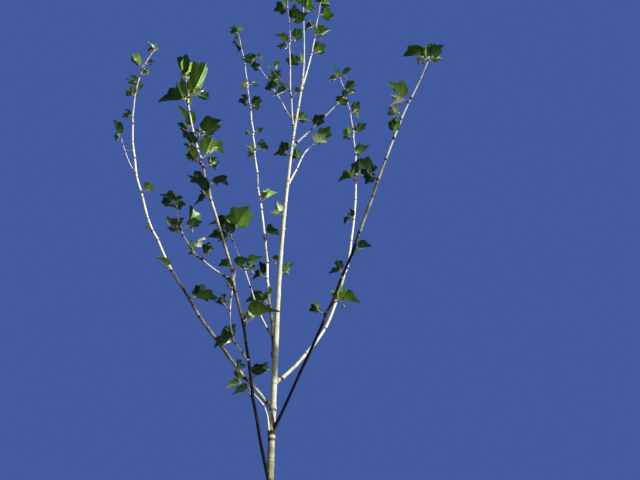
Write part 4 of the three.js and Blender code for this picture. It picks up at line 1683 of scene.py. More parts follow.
@dataclass
class LimbSkin:
    """The outer surface of the trunk or of one limb, with knots, rings and fine relief.

    Undulation is in shares of the radius, and wrinkles and streaks are in metres. The root flare's lobes
    have their number round the foot, their phase and their share.
    """

    line: Vector
    length: float
    radius_at: Callable[[np.ndarray], np.ndarray]
    age_and_shade_at: Callable[[np.ndarray], np.ndarray]
    knots: list[Knot]
    rings: list[GrowthRing]
    ring_gap: float
    sides: int
    seed: int
    kink: float = 0.2
    least_kink: float = 0.014
    kink_fade: float = 0.06
    undulation: Waves = Waves(9, (0.05, 0.35), (0, 4), 0.011)
    wrinkles: Waves = Waves(7, (0.011, 0.04), (0, 6), 0.00005)
    streaks: Waves = Waves(4, (0.2, 0.6), (5, 9), 0.00006)
    collar_from: float | None = None
    collar_share: float = 0.45
    collar_length: float = 0.016
    foot_lobes: float = 0.0
    flare_height: float = 0.13
    lobes: tuple[tuple[int, float, float], ...] = ((4, 0.6, 1.0), (7, 2.1, 0.6))
    relief_span: float = 4.0
    knot_back: float = 0.35
    scar_back: float = 0.6
    scar_drop: float = 0.6
    scar_width: float = 0.3
    least_scar: float = 0.0012
    tip_round: float = 1.2
    least_tip: float = 0.02

    def build(self, parts: MeshParts) -> Vector:
        """Adds the surface to the parts.

        Args:
            parts: what the surface is added to.

        Returns:
            The middle of each ring, which buds are set on.
        """
        shares = np.linspace(0, 1, int(self.length / self.ring_gap) + 1)
        along = shares * self.length
        angles = np.arange(self.sides) * math.tau / self.sides
        middle = smooth_points(self.line, shares) + self._kinks(along)
        plain = np.asarray(self.radius_at(shares))
        rng = np.random.default_rng(self.seed)
        radius = plain[:, None] * (1 + self.undulation.relief(along, angles, rng))
        radius += self.wrinkles.relief(along, angles, rng) + self.streaks.relief(along, angles, rng)
        if self.collar_from is not None:
            past = np.clip(along - self.collar_from, 0, None)
            radius += (self.collar_share * plain[0] * np.exp(-past / self.collar_length))[:, None]
        radius *= 1 + self._foot_lobes(along, angles)
        scar, pale = np.zeros_like(radius), np.zeros_like(radius)
        self._press_knots(along, angles, middle, radius, scar)
        self._press_rings(along, radius, scar, pale)
        left = (self.length - along) / (self.tip_round * plain[-1])
        radius *= np.sqrt(np.clip(left, self.least_tip, 1))[:, None]
        vertices, faces = tube(middle, radius, self.sides)
        grain = np.stack([
            np.cos(angles)[None] * plain[:, None], np.sin(angles)[None] * plain[:, None],
            np.broadcast_to(along[:, None], radius.shape)], axis=-1).reshape(-1, 3)
        # Each ring's place in the bark's colours; on a bough its dark stretches are partly painted shade.
        age = np.broadcast_to(np.asarray(self.age_and_shade_at(shares))[:, None], radius.shape)
        parts.add(vertices, faces, age=age.ravel(), scar=np.clip(scar, 0, 1).ravel(),
                  ring=np.clip(pale, 0, 1).ravel(), grain=grain + self.seed)
        return middle

    def _kinks(self, along: np.ndarray) -> Vector:
        """The slight bend towards each bud that makes a shoot zigzag.

        Args:
            along: the places of the rings along the limb.

        Returns:
            How far each ring's middle is moved.
        """
        buds = [knot for knot in self.knots if knot.bud]
        if len(buds) < 2:
            return np.zeros((len(along), 3))
        at = np.array([knot.at for knot in buds])
        size = self.kink * (np.asarray(self.radius_at(at / self.length)) + self.least_kink)
        offset = np.array([knot.toward for knot in buds]) * size[:, None] * LEVEL
        bend = np.column_stack([np.interp(along, at, offset[:, axis]) for axis in range(3)])
        fade = np.clip(np.minimum(along, self.length - along) / self.kink_fade, 0, 1)
        return bend * fade[:, None]

    def _foot_lobes(self, along: np.ndarray, angles: np.ndarray) -> np.ndarray:
        """The root flare's lobes at the ground, as a share of the radius."""
        lobes = sum(share * np.cos(count * angles + phase) for count, phase, share in self.lobes)
        return (self.foot_lobes * np.exp(-along / self.flare_height))[:, None] * lobes[None]

    def _press_knots(self, along: np.ndarray, angles: np.ndarray, middle: Vector, radius: np.ndarray,
                     scar: np.ndarray) -> None:
        """Swells the wood at each knot and darkens the scar under it.

        Args:
            along: the places of the rings along the limb.
            angles: the places of the corners round it.
            middle: the middle of each ring.
            radius: the radius at each corner of each ring, which is changed.
            scar: how dark each corner is, which is changed.
        """
        sideways, across = carried_frames(middle)
        for knot in self.knots:
            near = np.abs(along - knot.at) < self.relief_span * knot.reach
            if not near.any():
                continue
            index = int(np.argmin(np.abs(along - knot.at)))
            angle = math.atan2(float(knot.toward.dot(across[index])), float(knot.toward.dot(sideways[index])))
            facing = np.clip(np.cos(angles - angle), 0, 1) ** 2
            step = along[near] - knot.at
            swell = np.exp(-((step / knot.reach) ** 2))
            radius[near] += knot.swell * swell[:, None] * lerp(self.knot_back, 1, facing)[None]
            width = self.scar_width * knot.reach + self.least_scar
            under = np.exp(-(((step + self.scar_drop * knot.reach) / width) ** 2))
            scar[near] += knot.dark * under[:, None] * lerp(self.scar_back, 1, facing)[None]

    def _press_rings(self, along: np.ndarray, radius: np.ndarray, scar: np.ndarray,
                     pale: np.ndarray) -> None:
        """Raises the growth rings and colours them.

        Args:
            along: the places of the rings of corners along the limb.
            radius: the radius at each corner, which is changed.
            scar: how dark each corner is, which is changed.
            pale: how pale each corner is, which is changed.
        """
        for ring in self.rings:
            near = np.abs(along - ring.at) < self.relief_span * ring.width
            shape = np.exp(-(((along[near] - ring.at) / ring.width) ** 2))[:, None]
            radius[near] += ring.rise * shape
            scar[near] += ring.dark * shape
            pale[near] += ring.pale * shape


def settle(piece: bpy.types.Object, triangles: int, nodes: list[str] | None = None) -> None:
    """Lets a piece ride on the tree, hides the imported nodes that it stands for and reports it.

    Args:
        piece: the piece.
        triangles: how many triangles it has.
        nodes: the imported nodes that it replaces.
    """
    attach(piece, BODY)
    if nodes:
        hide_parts(*nodes)
    LOG.info("%s: %d triangles", piece.name, triangles)


@dataclass
class Wood:
    """The trunk and every limb. Bare nodes stand in turn on two sides of the wood, at uneven gaps."""

    skeleton: Skeleton
    crown: Crown
    nodes: list[str]
    trunk_ring_gap: float = 0.0035
    trunk_sides: int = 30
    trunk_seed: int = 3
    trunk_lobes: float = 0.07
    limb_ring_gap: float = 0.004
    limb_sides: int = 16
    limb_seed: int = 10
    limb_scar_width: float = 0.7
    least_sine: float = 0.15
    carrier_step: float = 0.01
    side_limb_rise: float = 0.8
    tuft_rise: float = 0.6
    clear_of_tip: float = 0.004
    node_gaps: tuple[float, float] = (0.24, 0.13)
    low_trunk_gap: float = 0.2
    low_trunk: float = 0.5
    uneven: tuple[float, float] = (0.8, 1.2)
    node_ends: tuple[float, float] = (0.05, 0.02)
    node_room: float = 0.025
    node_turn: float = 172.0
    node_swing: float = 25.0
    trunk_winters: tuple[float, ...] = (1.26, 1.995, 2.066, 3.18, 4.28, 5.21)
    limb_winters: tuple[float, ...] = (0.36, 0.7)
    dark_collar: GrowthRing = GrowthRing(2.088, rise=0.0, width=0.008, dark=0.75)
    seed: int = 20
    middles: dict[str, Vector] = field(default_factory=dict)

    def __post_init__(self) -> None:
        """Works out every limb's knots."""
        self.rng = np.random.default_rng(self.seed)
        self.knots = {name: self._knots_of(name) for name in self.skeleton.lines}

    def look(self, name: str) -> LimbLook:
        """The look of a limb or the trunk."""
        return LIMB_LOOKS.get(name, SIDE_LOOK)

    def radius(self, name: str, share: Numbers) -> Numbers:
        """The dressed radius of a limb or the trunk at a share of its length."""
        return self.skeleton.radius(name, share) * self.look(name).girth(share)

    def _leaves_carrier(self, limb: LimbSize) -> tuple[float, float]:
        """How far a limb runs inside its carrier's wood.

        Args:
            limb: the limb.

        Returns:
            How far along itself, and along its carrier, it comes out.
        """
        line, carrier = self.skeleton.lines[limb.name], self.skeleton.lines[limb.carrier]
        share, step = self.skeleton.seat_share(limb), self.carrier_step
        reach = float(self.radius(limb.carrier, share))
        ahead = unit(line[2] - line[0])
        up_carrier = unit(point_on(carrier, share + step) - point_on(carrier, share - step))
        cosine = float(ahead.dot(up_carrier))
        sine = max(math.sqrt(max(1 - cosine**2, 0)), self.least_sine)
        return reach / sine, reach * cosine / sine

    def _knots_of(self, name: str) -> list[Knot]:
        """The knots of a limb or the trunk.

        Args:
            name: its name.

        Returns:
            The knots at its side limbs, its tufts and its bare nodes, from its foot up.
        """
        length, knots = self.skeleton.length(name), []
        for limb in self.skeleton.limbs.values():
            if limb.carrier == name:
                share = self.skeleton.seat_share(limb)
                at = share * length + self.side_limb_rise * self._leaves_carrier(limb)[1]
                knots.append(SIDE_LIMB_KNOT.knot(at, limb.bearing[0], float(self.radius(name, share))))
        for tuft in (tuft for mass in self.crown.masses if mass.limb == name for tuft in mass.tufts):
            girth = float(self.radius(name, tuft.place))
            at = min(tuft.place * length + self.tuft_rise * girth, length - self.clear_of_tip)
            knots.append(TUFT_KNOT.knot(at, tuft.bearing, girth))
        knots += self._bare_nodes(name, length, [knot.at for knot in knots])
        return sorted(knots, key=lambda knot: knot.at)

    def _bare_nodes(self, name: str, length: float, taken: list[float]) -> list[Knot]:
        """The nodes between a limb's other knots.

        Args:
            name: the limb's name.
            length: its length.
            taken: the places of its other knots.

        Returns:
            The nodes' knots.
        """
        knots, at, side = [], self.node_ends[0], float(self.rng.uniform(0, 360))
        while at < length - self.node_ends[1]:
            share = at / length
            if min((abs(at - other) for other in taken), default=1.0) > self.node_room:
                bearing = side + float(self.rng.uniform(-self.node_swing, self.node_swing))
                knots.append(BARE_NODE.knot(at, bearing, float(self.radius(name, share))))
            low = name == "trunk" and share < self.low_trunk
            gap = self.low_trunk_gap if low else lerp(*self.node_gaps, share)
            at += gap * float(self.rng.uniform(*self.uneven))
            side += self.node_turn
        return knots

    def _rings_of(self, name: str) -> list[GrowthRing]:
        """The rings of a limb or the trunk.

        Args:
            name: its name.

        Returns:
            Its winter rings, and the wrinkles at its foot or the collar under a bough.
        """
        if name == "trunk":
            groups = [(at, TRUNK_WINTER) for at in self.trunk_winters] + [(0.0, [self.dark_collar])]
        else:
            limb = self.skeleton.limbs[name]
            groups = [(self._leaves_carrier(limb)[0], FOOT_WRINKLES)]
            groups += [(share * limb.length, LIMB_WINTER) for share in self.limb_winters]
        return [moved for at, rings in groups for ring in rings for moved in ring.moved(at)]

    def build(self, effects: Effects) -> None:
        """Builds the trunk and every limb, each a piece of its own.

        Args:
            effects: the shared node groups.
        """
        old, young = OLD_BARK.material(effects), YOUNG_BARK.material(effects)
        for number, name in enumerate(self.skeleton.lines):
            parts = MeshParts()
            self.middles[name] = self._skin(name, number).build(parts)
            if name == "trunk":
                piece, slot, prefix = parts.build("trunk_bark", [old]), "trunk_bark", "trunk"
            else:
                piece, slot, prefix = parts.build(f"limb_{name}", [young]), "bough_bark", f"bough_{name}"
            settle(piece, parts.triangles, [node for node in self.nodes if node.startswith(prefix)])

    def _skin(self, name: str, number: int) -> LimbSkin:
        """The skin of the trunk or of a limb.

        Args:
            name: its name.
            number: its place in the skeleton, where the trunk is the first.

        Returns:
            The skin.
        """
        if name == "trunk":
            own = {"ring_gap": self.trunk_ring_gap, "sides": self.trunk_sides, "seed": self.trunk_seed,
                   "kink": 0.0, "foot_lobes": self.trunk_lobes,
                   "flare_height": self.skeleton.trunk.flare_height}
        else:
            own = {"ring_gap": self.limb_ring_gap, "sides": self.limb_sides, "seed": self.limb_seed + number,
                   "scar_width": self.limb_scar_width,
                   "collar_from": self._leaves_carrier(self.skeleton.limbs[name])[0]}
        return LimbSkin(
            self.skeleton.lines[name], self.skeleton.length(name), lambda share: self.radius(name, share),
            self.look(name).age, self.knots[name], self._rings_of(name), **own)


# Twigs: spurs, leaf stalks, buds and seed balls


@dataclass(frozen=True)
class SpurShape:
    """How a spur is drawn, with a collar at its foot, close rings along it and scars between them."""

    radius: float = 0.0031
    tip_radius: float = 0.0021
    most_share: float = 0.85
    sides: int = 8
    rows: int = 14
    sag: float = 0.12
    collar: float = 0.5
    collar_length: float = 0.004
    ring_rise: float = 0.07
    ring_gap: float = 0.0026
    end_share: float = 0.5
    ages: tuple[float, float] = (0.75, 0.15)
    scar: float = 0.5
    scar_phase: float = 2.5
    scar_from: float = 0.4
    foot_rows: int = 3
    foot_scar: float = 0.7

    def add(self, parts: MeshParts, spur: Spur, girth: float) -> None:
        """Adds one spur.

        Args:
            parts: what it is added to.
            spur: the spur.
            girth: the radius of the wood that it leaves.
        """
        shares = np.linspace(0, 1, self.rows)
        along = shares * float(np.linalg.norm(spur.end - spur.foot))
        base = min(self.radius, self.most_share * girth)
        radii = lerp(base, min(self.tip_radius, base), shares)
        radii = radii + self.collar * base * np.exp(-np.clip(along - girth, 0, None) / self.collar_length)
        radii = radii * (1 + self.ring_rise * np.sin(along / self.ring_gap))
        radii[-1] *= self.end_share
        vertices, faces = tube(sagging(spur.foot, spur.end, shares, self.sag), radii, self.sides)
        scars = self.scar * (np.sin(along / self.ring_gap + self.scar_phase) > self.scar_from)
        scars[:self.foot_rows] = self.foot_scar
        parts.add(vertices, faces, age=np.repeat(lerp(*self.ages, shares), self.sides),
                  scar=np.repeat(scars, self.sides), ring=0.0, grain=vertices)


@dataclass(frozen=True)
class ShootShape:
    """How a fine side shoot is drawn, with one node on it."""

    radius: float = 0.0016
    tip_share: float = 0.6
    sides: int = 6
    rows: int = 9
    sag: float = 0.2
    node: float = 0.6
    node_rise: float = 0.25
    node_width: float = 0.05
    end_share: float = 0.5
    ages: tuple[float, float] = (0.4, 0.05)

    def add(self, parts: MeshParts, shoot: Shoot) -> None:
        """Adds one shoot.

        Args:
            parts: what it is added to.
            shoot: the shoot.
        """
        shares = np.linspace(0, 1, self.rows)
        radii = lerp(self.radius, self.tip_share * self.radius, shares)
        radii = radii * (1 + self.node_rise * np.exp(-(((shares - self.node) / self.node_width) ** 2)))
        radii[-1] *= self.end_share
        vertices, faces = tube(sagging(shoot.foot, shoot.end, shares, self.sag), radii, self.sides)
        parts.add(vertices, faces, age=np.repeat(lerp(*self.ages, shares), self.sides),
                  scar=0.0, ring=0.0, grain=vertices)


@dataclass(frozen=True)
class StalkShape:
    """How a leaf stalk is drawn: it swells at its foot and bends into the blade."""

    radius: float = 0.00115
    scales: tuple[float, float] = (0.75, 1.1)
    full_size: float = 0.1
    sides: int = 6
    rows: int = 7
    rise: float = 0.10
    back: float = 0.06
    into_blade: float = 0.04
    foot_swell: float = 0.9
    swell_length: float = 0.004
    end_share: float = 0.6

    def add(self, parts: MeshParts, leaf: Leaf) -> None:
        """Adds one leaf's stalk.

        Args:
            parts: what it is added to.
            leaf: the leaf.
        """
        reach = float(np.linalg.norm(leaf.hub - leaf.start))
        control = (leaf.start + leaf.hub) / 2 + UP * self.rise * reach - leaf.ahead * self.back * reach
        end = leaf.hub + leaf.ahead * self.into_blade * leaf.size
        along = np.linspace(0, 1, self.rows) * reach
        scale = lerp(*self.scales, min(leaf.size / self.full_size, 1.0))
        radii = self.radius * scale * (1 + self.foot_swell * np.exp(-along / self.swell_length))
        radii[-1] *= self.end_share
        parts.add(*tube(curved(leaf.start, control, end, self.rows), radii, self.sides))


@dataclass(frozen=True)
class BudShape:
    """How a bud is drawn: an egg with a point."""

    length: float = 0.0062
    radius: float = 0.0021
    places: tuple[float, ...] = (0.0, 0.18, 0.42, 0.7, 0.9, 1.0)
    girths: tuple[float, ...] = (0.6, 0.95, 1.0, 0.66, 0.28, 0.05)
    sides: int = 7

    def add(self, parts: MeshParts, foot: Vector, along: Vector, size: float) -> None:
        """Adds one bud that sits on its foot and points along, at a share of the full size."""
        points = foot + np.outer(self.places, along) * self.length * size
        parts.add(*tube(points, np.array(self.girths) * self.radius * size, self.sides))


@dataclass(frozen=True)
class BallShape:
    """How a seed ball is drawn, with a burred surface and a thin stalk."""

    radius: float = 0.0075
    rows: int = 12
    sides: int = 16
    burr: float = 0.16
    least_girth: float = 0.04
    stalk_radius: float = 0.0007
    stalk_rows: int = 9
    stalk_sides: int = 5
    stalk_out: float = 0.02

    def add(self, parts: MeshParts, centre: Vector, size: float) -> None:
        """Adds one ball.

        Args:
            parts: what it is added to.
            centre: its middle.
            size: its share of the full size.
        """
        turns = np.linspace(0, math.pi, self.rows)
        points = centre + np.outer(-np.cos(turns), UP) * self.radius * size
        burrs = np.add.outer(np.arange(self.rows), np.arange(self.sides)) % 2 - 0.5
        radii = np.maximum(np.sin(turns), self.least_girth)[:, None] * self.radius * size
        parts.add(*tube(points, radii * (1 + self.burr * burrs), self.sides))

    def add_stalk(self, parts: MeshParts, start: Vector, outward: Vector, centre: Vector) -> None:
        """Adds one ball's stalk, which heads outward from its start and then down to the ball."""
        points = curved(start, start + outward * self.stalk_out, centre, self.stalk_rows)
        parts.add(*tube(points, np.full(self.stalk_rows, self.stalk_radius), self.stalk_sides))


@dataclass
class Twigs:
    """The spurs with their shoots, the leaf stalks, the buds and the seed balls, each kind joined."""

    wood: Wood
    crown: Crown
    nodes: list[str]
    spur: SpurShape = SpurShape()
    shoot: ShootShape = ShootShape()
    stalk: StalkShape = StalkShape()
    bud: BudShape = BudShape()
    ball: BallShape = BallShape()
    budded_radius: float = 0.011
    bud_seat: float = 0.9
    bud_ahead: float = 0.8
    bud_outward: float = 0.75
    bud_sizes: tuple[float, float] = (0.7, 1.15)
    tip_bud_size: float = 1.2
    tip_bud_sunk: float = 0.002
    ball_count: int = 9
    ball_drops: tuple[float, float] = (0.025, 0.05)
    ball_steps: tuple[float, float] = (0.008, 0.02)
    ball_sizes: tuple[float, float] = (0.8, 1.15)
    seed: int = 41

    def __post_init__(self) -> None:
        """Starts the draws."""
        self.rng = np.random.default_rng(self.seed)

    def build(self, effects: Effects) -> None:
        """Builds the four pieces.

        Args:
            effects: the shared node groups.
        """
        twigs, stalks, buds, balls = MeshParts(), MeshParts(), MeshParts(), MeshParts()
        for mass in self.crown.masses:
            for tuft in mass.tufts:
                if not tuft.leaves:
                    continue
                self.spur.add(twigs, tuft.spur, float(self.wood.radius(mass.limb, tuft.place)))
                for shoot in tuft.shoots:
                    self.shoot.add(twigs, shoot)
                for leaf in tuft.leaves:
                    self.stalk.add(stalks, leaf)
        self._add_buds(buds)
        self._add_balls(balls, stalks)
        leafy = [node for node in self.nodes if node.startswith("leaves_")]
        settle(twigs.build("twigs", [TWIG_BARK.material(effects)]), twigs.triangles, leafy)
        settle(stalks.build("leaf_stalks", [STALKS.material()]), stalks.triangles)
        settle(buds.build("buds", [BUDS.material()]), buds.triangles)
        settle(balls.build("seed_balls", [BALLS.material()]), balls.triangles)

    def _add_buds(self, parts: MeshParts) -> None:
        """Adds a bud at each node of the young wood and at each limb's tip.

        Args:
            parts: what they are added to.
        """
        for name, knots in self.wood.knots.items():
            middle, length = self.wood.middles[name], self.wood.skeleton.length(name)
            last = len(middle) - 1
            for knot in knots:
                girth = float(self.wood.radius(name, knot.at / length))
                if not knot.bud or girth > self.budded_radius:
                    continue
                index = int(round(knot.at / length * last))
                ahead = unit(middle[min(index + 2, last)] - middle[max(index - 2, 0)])
                outward = unit(knot.toward - ahead * knot.toward.dot(ahead))
                along = unit(ahead * self.bud_ahead + outward * self.bud_outward)
                size = float(self.rng.uniform(*self.bud_sizes))
                self.bud.add(parts, middle[index] + outward * girth * self.bud_seat, along, size)
            ahead = unit(middle[-1] - middle[-3])
            self.bud.add(parts, middle[-1] - ahead * self.tip_bud_sunk, ahead, self.tip_bud_size)

    def _add_balls(self, parts: MeshParts, stalks: MeshParts) -> None:
        """Hangs seed balls from a few of the tufts.

        Args:
            parts: what the balls are added to.
            stalks: what their stalks are added to.
        """
        spurs = [tuft.spur for tuft in self.crown.tufts if tuft.leaves]
        for number in sorted(self.rng.choice(len(spurs), self.ball_count, replace=False)):
            spur = spurs[int(number)]
            outward = unit(spur.along * LEVEL)
            drop, step = float(self.rng.uniform(*self.ball_drops)), float(self.rng.uniform(*self.ball_steps))
            centre = spur.end + outward * step - UP * drop
            self.ball.add_stalk(stalks, spur.end, outward, centre)
            self.ball.add(parts, centre, float(self.rng.uniform(*self.ball_sizes)))


# Leaves


@dataclass
class BladeOutline:
    """A blade's lines from the hub to the rim, in shares of its length.

    Rows are the shares of the way out that its points stand at. A tooth has its share of the way from
    a notch to a lobe's tip and how far it stands out, and a point of the base its angle and reach.
    """

    rule: GrowthRule
    rows: tuple[float, ...]
    teeth: tuple[tuple[float, float], ...]
    base: tuple[tuple[float, float], ...] = ((110.0, 0.42), (126.0, 0.26), (150.0, 0.13))

    def __post_init__(self) -> None:
        """Lays the points out and lists the faces. Both sides share the hub, the base and the rim."""
        right = self._right_half()
        left = [(-x, y, -axis, vein) for x, y, axis, vein in reversed(right[1:])]
        line, rows = np.array(left + right), len(self.rows)
        place = np.array(self.rows)[:, None, None] * line[None, :, :2]
        self.flat = np.vstack([[[0.0, 0.0]], place.reshape(-1, 2)])
        axis = np.radians(np.tile(line[:, 2], rows))
        off_axis = np.abs(self.flat[1:, 0] * np.cos(axis) - self.flat[1:, 1] * np.sin(axis))
        self.off_axis = np.concatenate([[0.0], off_axis])
        self.vein = np.concatenate([[1.0], np.tile(line[:, 3], rows)])
        self.rim = np.concatenate([[0.0], np.repeat(self.rows, len(line))])
        upper = np.arange(1, len(self.flat)).reshape(rows, len(line))
        inner = np.zeros_like(upper, dtype=bool)
        inner[:-1, 1:-1] = True
        under = upper.copy()
        under[inner] = len(self.flat) + np.arange(int(inner.sum()))
        self.copied = upper[inner]
        self.upper_faces = self._side(upper)
        self.under_faces = [faces[:, ::-1] for faces in self._side(under)]

    def _right_half(self) -> list[tuple[float, float, float, float]]:
        """The rim from the middle lobe's tip round to the base.

        Returns:
            Each point's x and y, its lobe's axis in degrees, and 1 on a vein or else 0.
        """
        count, half_angle = 2 * self.rule.lobes_a_side, self.rule.lobe_angle / 2
        corners = []
        for i in range(count + 1):
            reach = self.rule.notch(i / count) if i % 2 else self.rule.lobe(i / count)
            turn = math.radians(i * half_angle)
            corners.append(np.array([math.sin(turn), math.cos(turn)]) * reach)
        rim = [(*corners[0], 0.0, 1.0)]
        for i, (start, end) in enumerate(zip(corners, corners[1:])):
            axis, span = (i + i % 2) * half_angle, end - start
            outward = np.array([-span[1], span[0]]) / np.linalg.norm(span)
            if outward.dot(start) < 0:
                outward = -outward
            steps = self.teeth if i % 2 else [(1 - share, rise) for share, rise in reversed(self.teeth)]
            for share, rise in steps:
                rim.append((*(start + span * share + outward * rise), axis, 0.0))
            rim.append((*end, axis, float(i % 2)))
        for turn, reach in self.base:
            angle = math.radians(turn)
            rim.append((reach * math.sin(angle), reach * math.cos(angle), count * half_angle, 0.0))
        return rim

    @staticmethod
    def _side(grid: np.ndarray) -> list[np.ndarray]:
        """One side's faces.

        Args:
            grid: the numbers of its points, one row for each step outwards.

        Returns:
            The triangles round the hub and the four-sided faces outside them.
        """
        fan = np.stack([np.zeros(grid.shape[1] - 1, dtype=int), grid[0, 1:], grid[0, :-1]], axis=-1)
        wall = np.stack([grid[:-1, :-1], grid[:-1, 1:], grid[1:, 1:], grid[1:, :-1]], axis=-1)
        return [fan, wall.reshape(-1, 4)]


@dataclass(frozen=True)
class BladeShape:
    """How a blade bends, each as the least and the most of a range."""

    lobe_fold: tuple[float, float]
    middle_fold: tuple[float, float]
    droop: tuple[float, float]
    bend: tuple[float, float]
    twist: tuple[float, float]
    wave: tuple[float, float]
    width: tuple[float, float]


BLADE_SHAPES = {
    Growth.GROWN: BladeShape(
        lobe_fold=(0.10, 0.28), middle_fold=(20, 64), droop=(0.02, 0.18), bend=(-25, 40), twist=(-30, 30),
        wave=(0.01, 0.03), width=(0.9, 1.04)),
    Growth.SMALL: BladeShape(
        lobe_fold=(0.15, 0.4), middle_fold=(26, 66), droop=(0.0, 0.15), bend=(-35, 30), twist=(-32, 32),
        wave=(0.01, 0.035), width=(0.85, 1.0)),
    Growth.YOUNG: BladeShape(
        lobe_fold=(0.3, 0.6), middle_fold=(40, 74), droop=(-0.1, 0.1), bend=(-45, 30), twist=(-20, 20),
        wave=(0.0, 0.03), width=(0.7, 0.95)),
}

# The tint that the odd leaf of a spray has, and the share of such leaves

ODD_TINTS = {DEEP_AND_SHADED: (MID, 0.2), MID: (FRESH_AND_LIT, 0.2), FRESH_AND_LIT: (MID, 0.25), PALE: (FRESH_AND_LIT, 0.45)}


@dataclass
class Foliage:
    """Every blade of the crown, in sprays of one tint, joined by tint."""

    crown: Crown
    fine_rows: tuple[float, ...] = (0.3, 0.58, 0.82, 1.0)
    fine_teeth: tuple[tuple[float, float], ...] = ((0.28, 0.042), (0.40, 0.008), (0.64, 0.045), (0.76, 0.012))
    plain_rows: tuple[float, ...] = (0.4, 0.75, 1.0)
    plain_teeth: tuple[tuple[float, float], ...] = ((0.45, 0.035), (0.6, 0.0))
    thickness: float = 0.006
    tone: float = 0.22
    waves: int = 5
    ripples: int = 11
    ripple_share: float = 0.5
    least_bend: float = 0.001
    crease: float = 70.0
    seed: int = 7

    def __post_init__(self) -> None:
        """Lays the blades out and deals each leaf a tint and a tone."""
        self.fine = BladeOutline(self.crown.rule, self.fine_rows, self.fine_teeth)
        self.plain = BladeOutline(self.crown.rule, self.plain_rows, self.plain_teeth)
        self.rng = np.random.default_rng(self.seed)
        self.sprays: dict[Tint, list[tuple[Leaf, float]]] = {tint: [] for tint in Tint}
        for tuft in self.crown.tufts:
            for leaf in tuft.leaves:
                tint = self._dealt_tint(leaf, tuft.tint)
                self.sprays[tint].append((leaf, float(self.rng.uniform(-self.tone, self.tone))))

    def _dealt_tint(self, leaf: Leaf, tint: Tint) -> Tint:
        """A leaf's tint.

        Args:
            leaf: the leaf.
            tint: its spray's tint.

        Returns:
            Pale for a young leaf. Otherwise the spray's tint or, now and then, one near it.
        """
        if leaf.growth is Growth.YOUNG:
            return PALE
        odd_tint, odd_share = ODD_TINTS[tint]
        return odd_tint if self.rng.random() < odd_share else tint

    def build(self, effects: Effects) -> None:
        """Builds one piece of leaves for each tint.

        Args:
            effects: the shared node groups.
        """
        for tint, leaves in self.sprays.items():
            parts = MeshParts()
            for leaf, tone in leaves:
                self._add_blade(parts, leaf, tone)
            materials = [finish.material(effects) for finish in LEAF_FINISHES[tint]]
            piece = parts.build(f"leaves_{tint.name.lower()}", materials, self.crease)
            settle(piece, parts.triangles)

    def _add_blade(self, parts: MeshParts, leaf: Leaf, tone: float) -> None:
        """Adds one blade: a thin closed shell with an upper and an under finish.

        Args:
            parts: what it is added to.
            leaf: the leaf.
            tone: how much lighter it is than its tint.
        """
        outline = self.fine if leaf.growth is Growth.GROWN else self.plain
        x, y, z = self._bent(outline, BLADE_SHAPES[leaf.growth])
        sideways = np.cross(leaf.ahead, leaf.face)
        off_hub = np.outer(x, sideways) + np.outer(y, leaf.ahead) + np.outer(z, leaf.face)
        upper = leaf.hub + leaf.size * off_hub
        copied, lift = outline.copied, leaf.face * leaf.size * self.thickness / 2
        under = upper[copied] - lift
        upper[copied] += lift
        parts.add_faces(outline.upper_faces, 0)
        parts.add_faces(outline.under_faces, 1)
        parts.add(np.vstack([upper, under]), [], vein=np.concatenate([outline.vein, outline.vein[copied]]),
                  rim=np.concatenate([outline.rim, outline.rim[copied]]), tone=tone)

    def _bent(self, outline: BladeOutline, shape: BladeShape) -> tuple[np.ndarray, np.ndarray, np.ndarray]:
        """Folds a flat blade along its veins, and waves, bends and twists it.

        Args:
            outline: the flat blade.
            shape: the ranges of its folds and bends.

        Returns:
            Its points across it, along it and off its plane, in shares of its length.
        """
        draw = self.rng.uniform
        x, y = outline.flat[:, 0] * draw(*shape.width), outline.flat[:, 1]
        turn = np.arctan2(x, y)
        z = draw(*shape.lobe_fold) * outline.off_axis - draw(*shape.droop) * (x * x + y * y)
        wave = draw(*shape.wave) * np.sin(self.waves * turn + draw(0, math.tau)) * outline.rim**3
        z = z + wave + self.ripple_share * wave * np.sin(self.ripples * turn + draw(0, math.tau))
        fold = math.radians(draw(*shape.middle_fold))
        x, z = x * math.cos(fold), z + np.abs(x) * math.sin(fold)
        bend = math.radians(draw(*shape.bend)) or self.least_bend
        swing = bend * y
        y, z = np.sin(swing) / bend - z * np.sin(swing), z * np.cos(swing) - (1 - np.cos(swing)) / bend
        twist = math.radians(draw(*shape.twist)) * outline.flat[:, 1]
        return x * np.cos(twist) - z * np.sin(twist), y, x * np.sin(twist) + z * np.cos(twist)


# The studio


@dataclass(frozen=True)
class Sun:
    """A distant soft light.

    Its bearing is to the right of straight behind the camera, and it stands below the ground where its
    height is negative. Both are in degrees.
    """

    name: str
    bearing: float
    height: float
    strength: float
    colour: tuple[float, float, float] = (1.0, 0.985, 0.94)
    size: float = 3.0

    def build(self) -> None:
        """Puts the light in the scene."""
        data = bpy.data.lights.new(self.name, "SUN")
        data.energy, data.angle, data.color = self.strength, math.radians(self.size), self.colour
        light = linked(self.name, data)
        light.rotation_euler = (math.radians(90 - self.height), 0, math.radians(self.bearing))


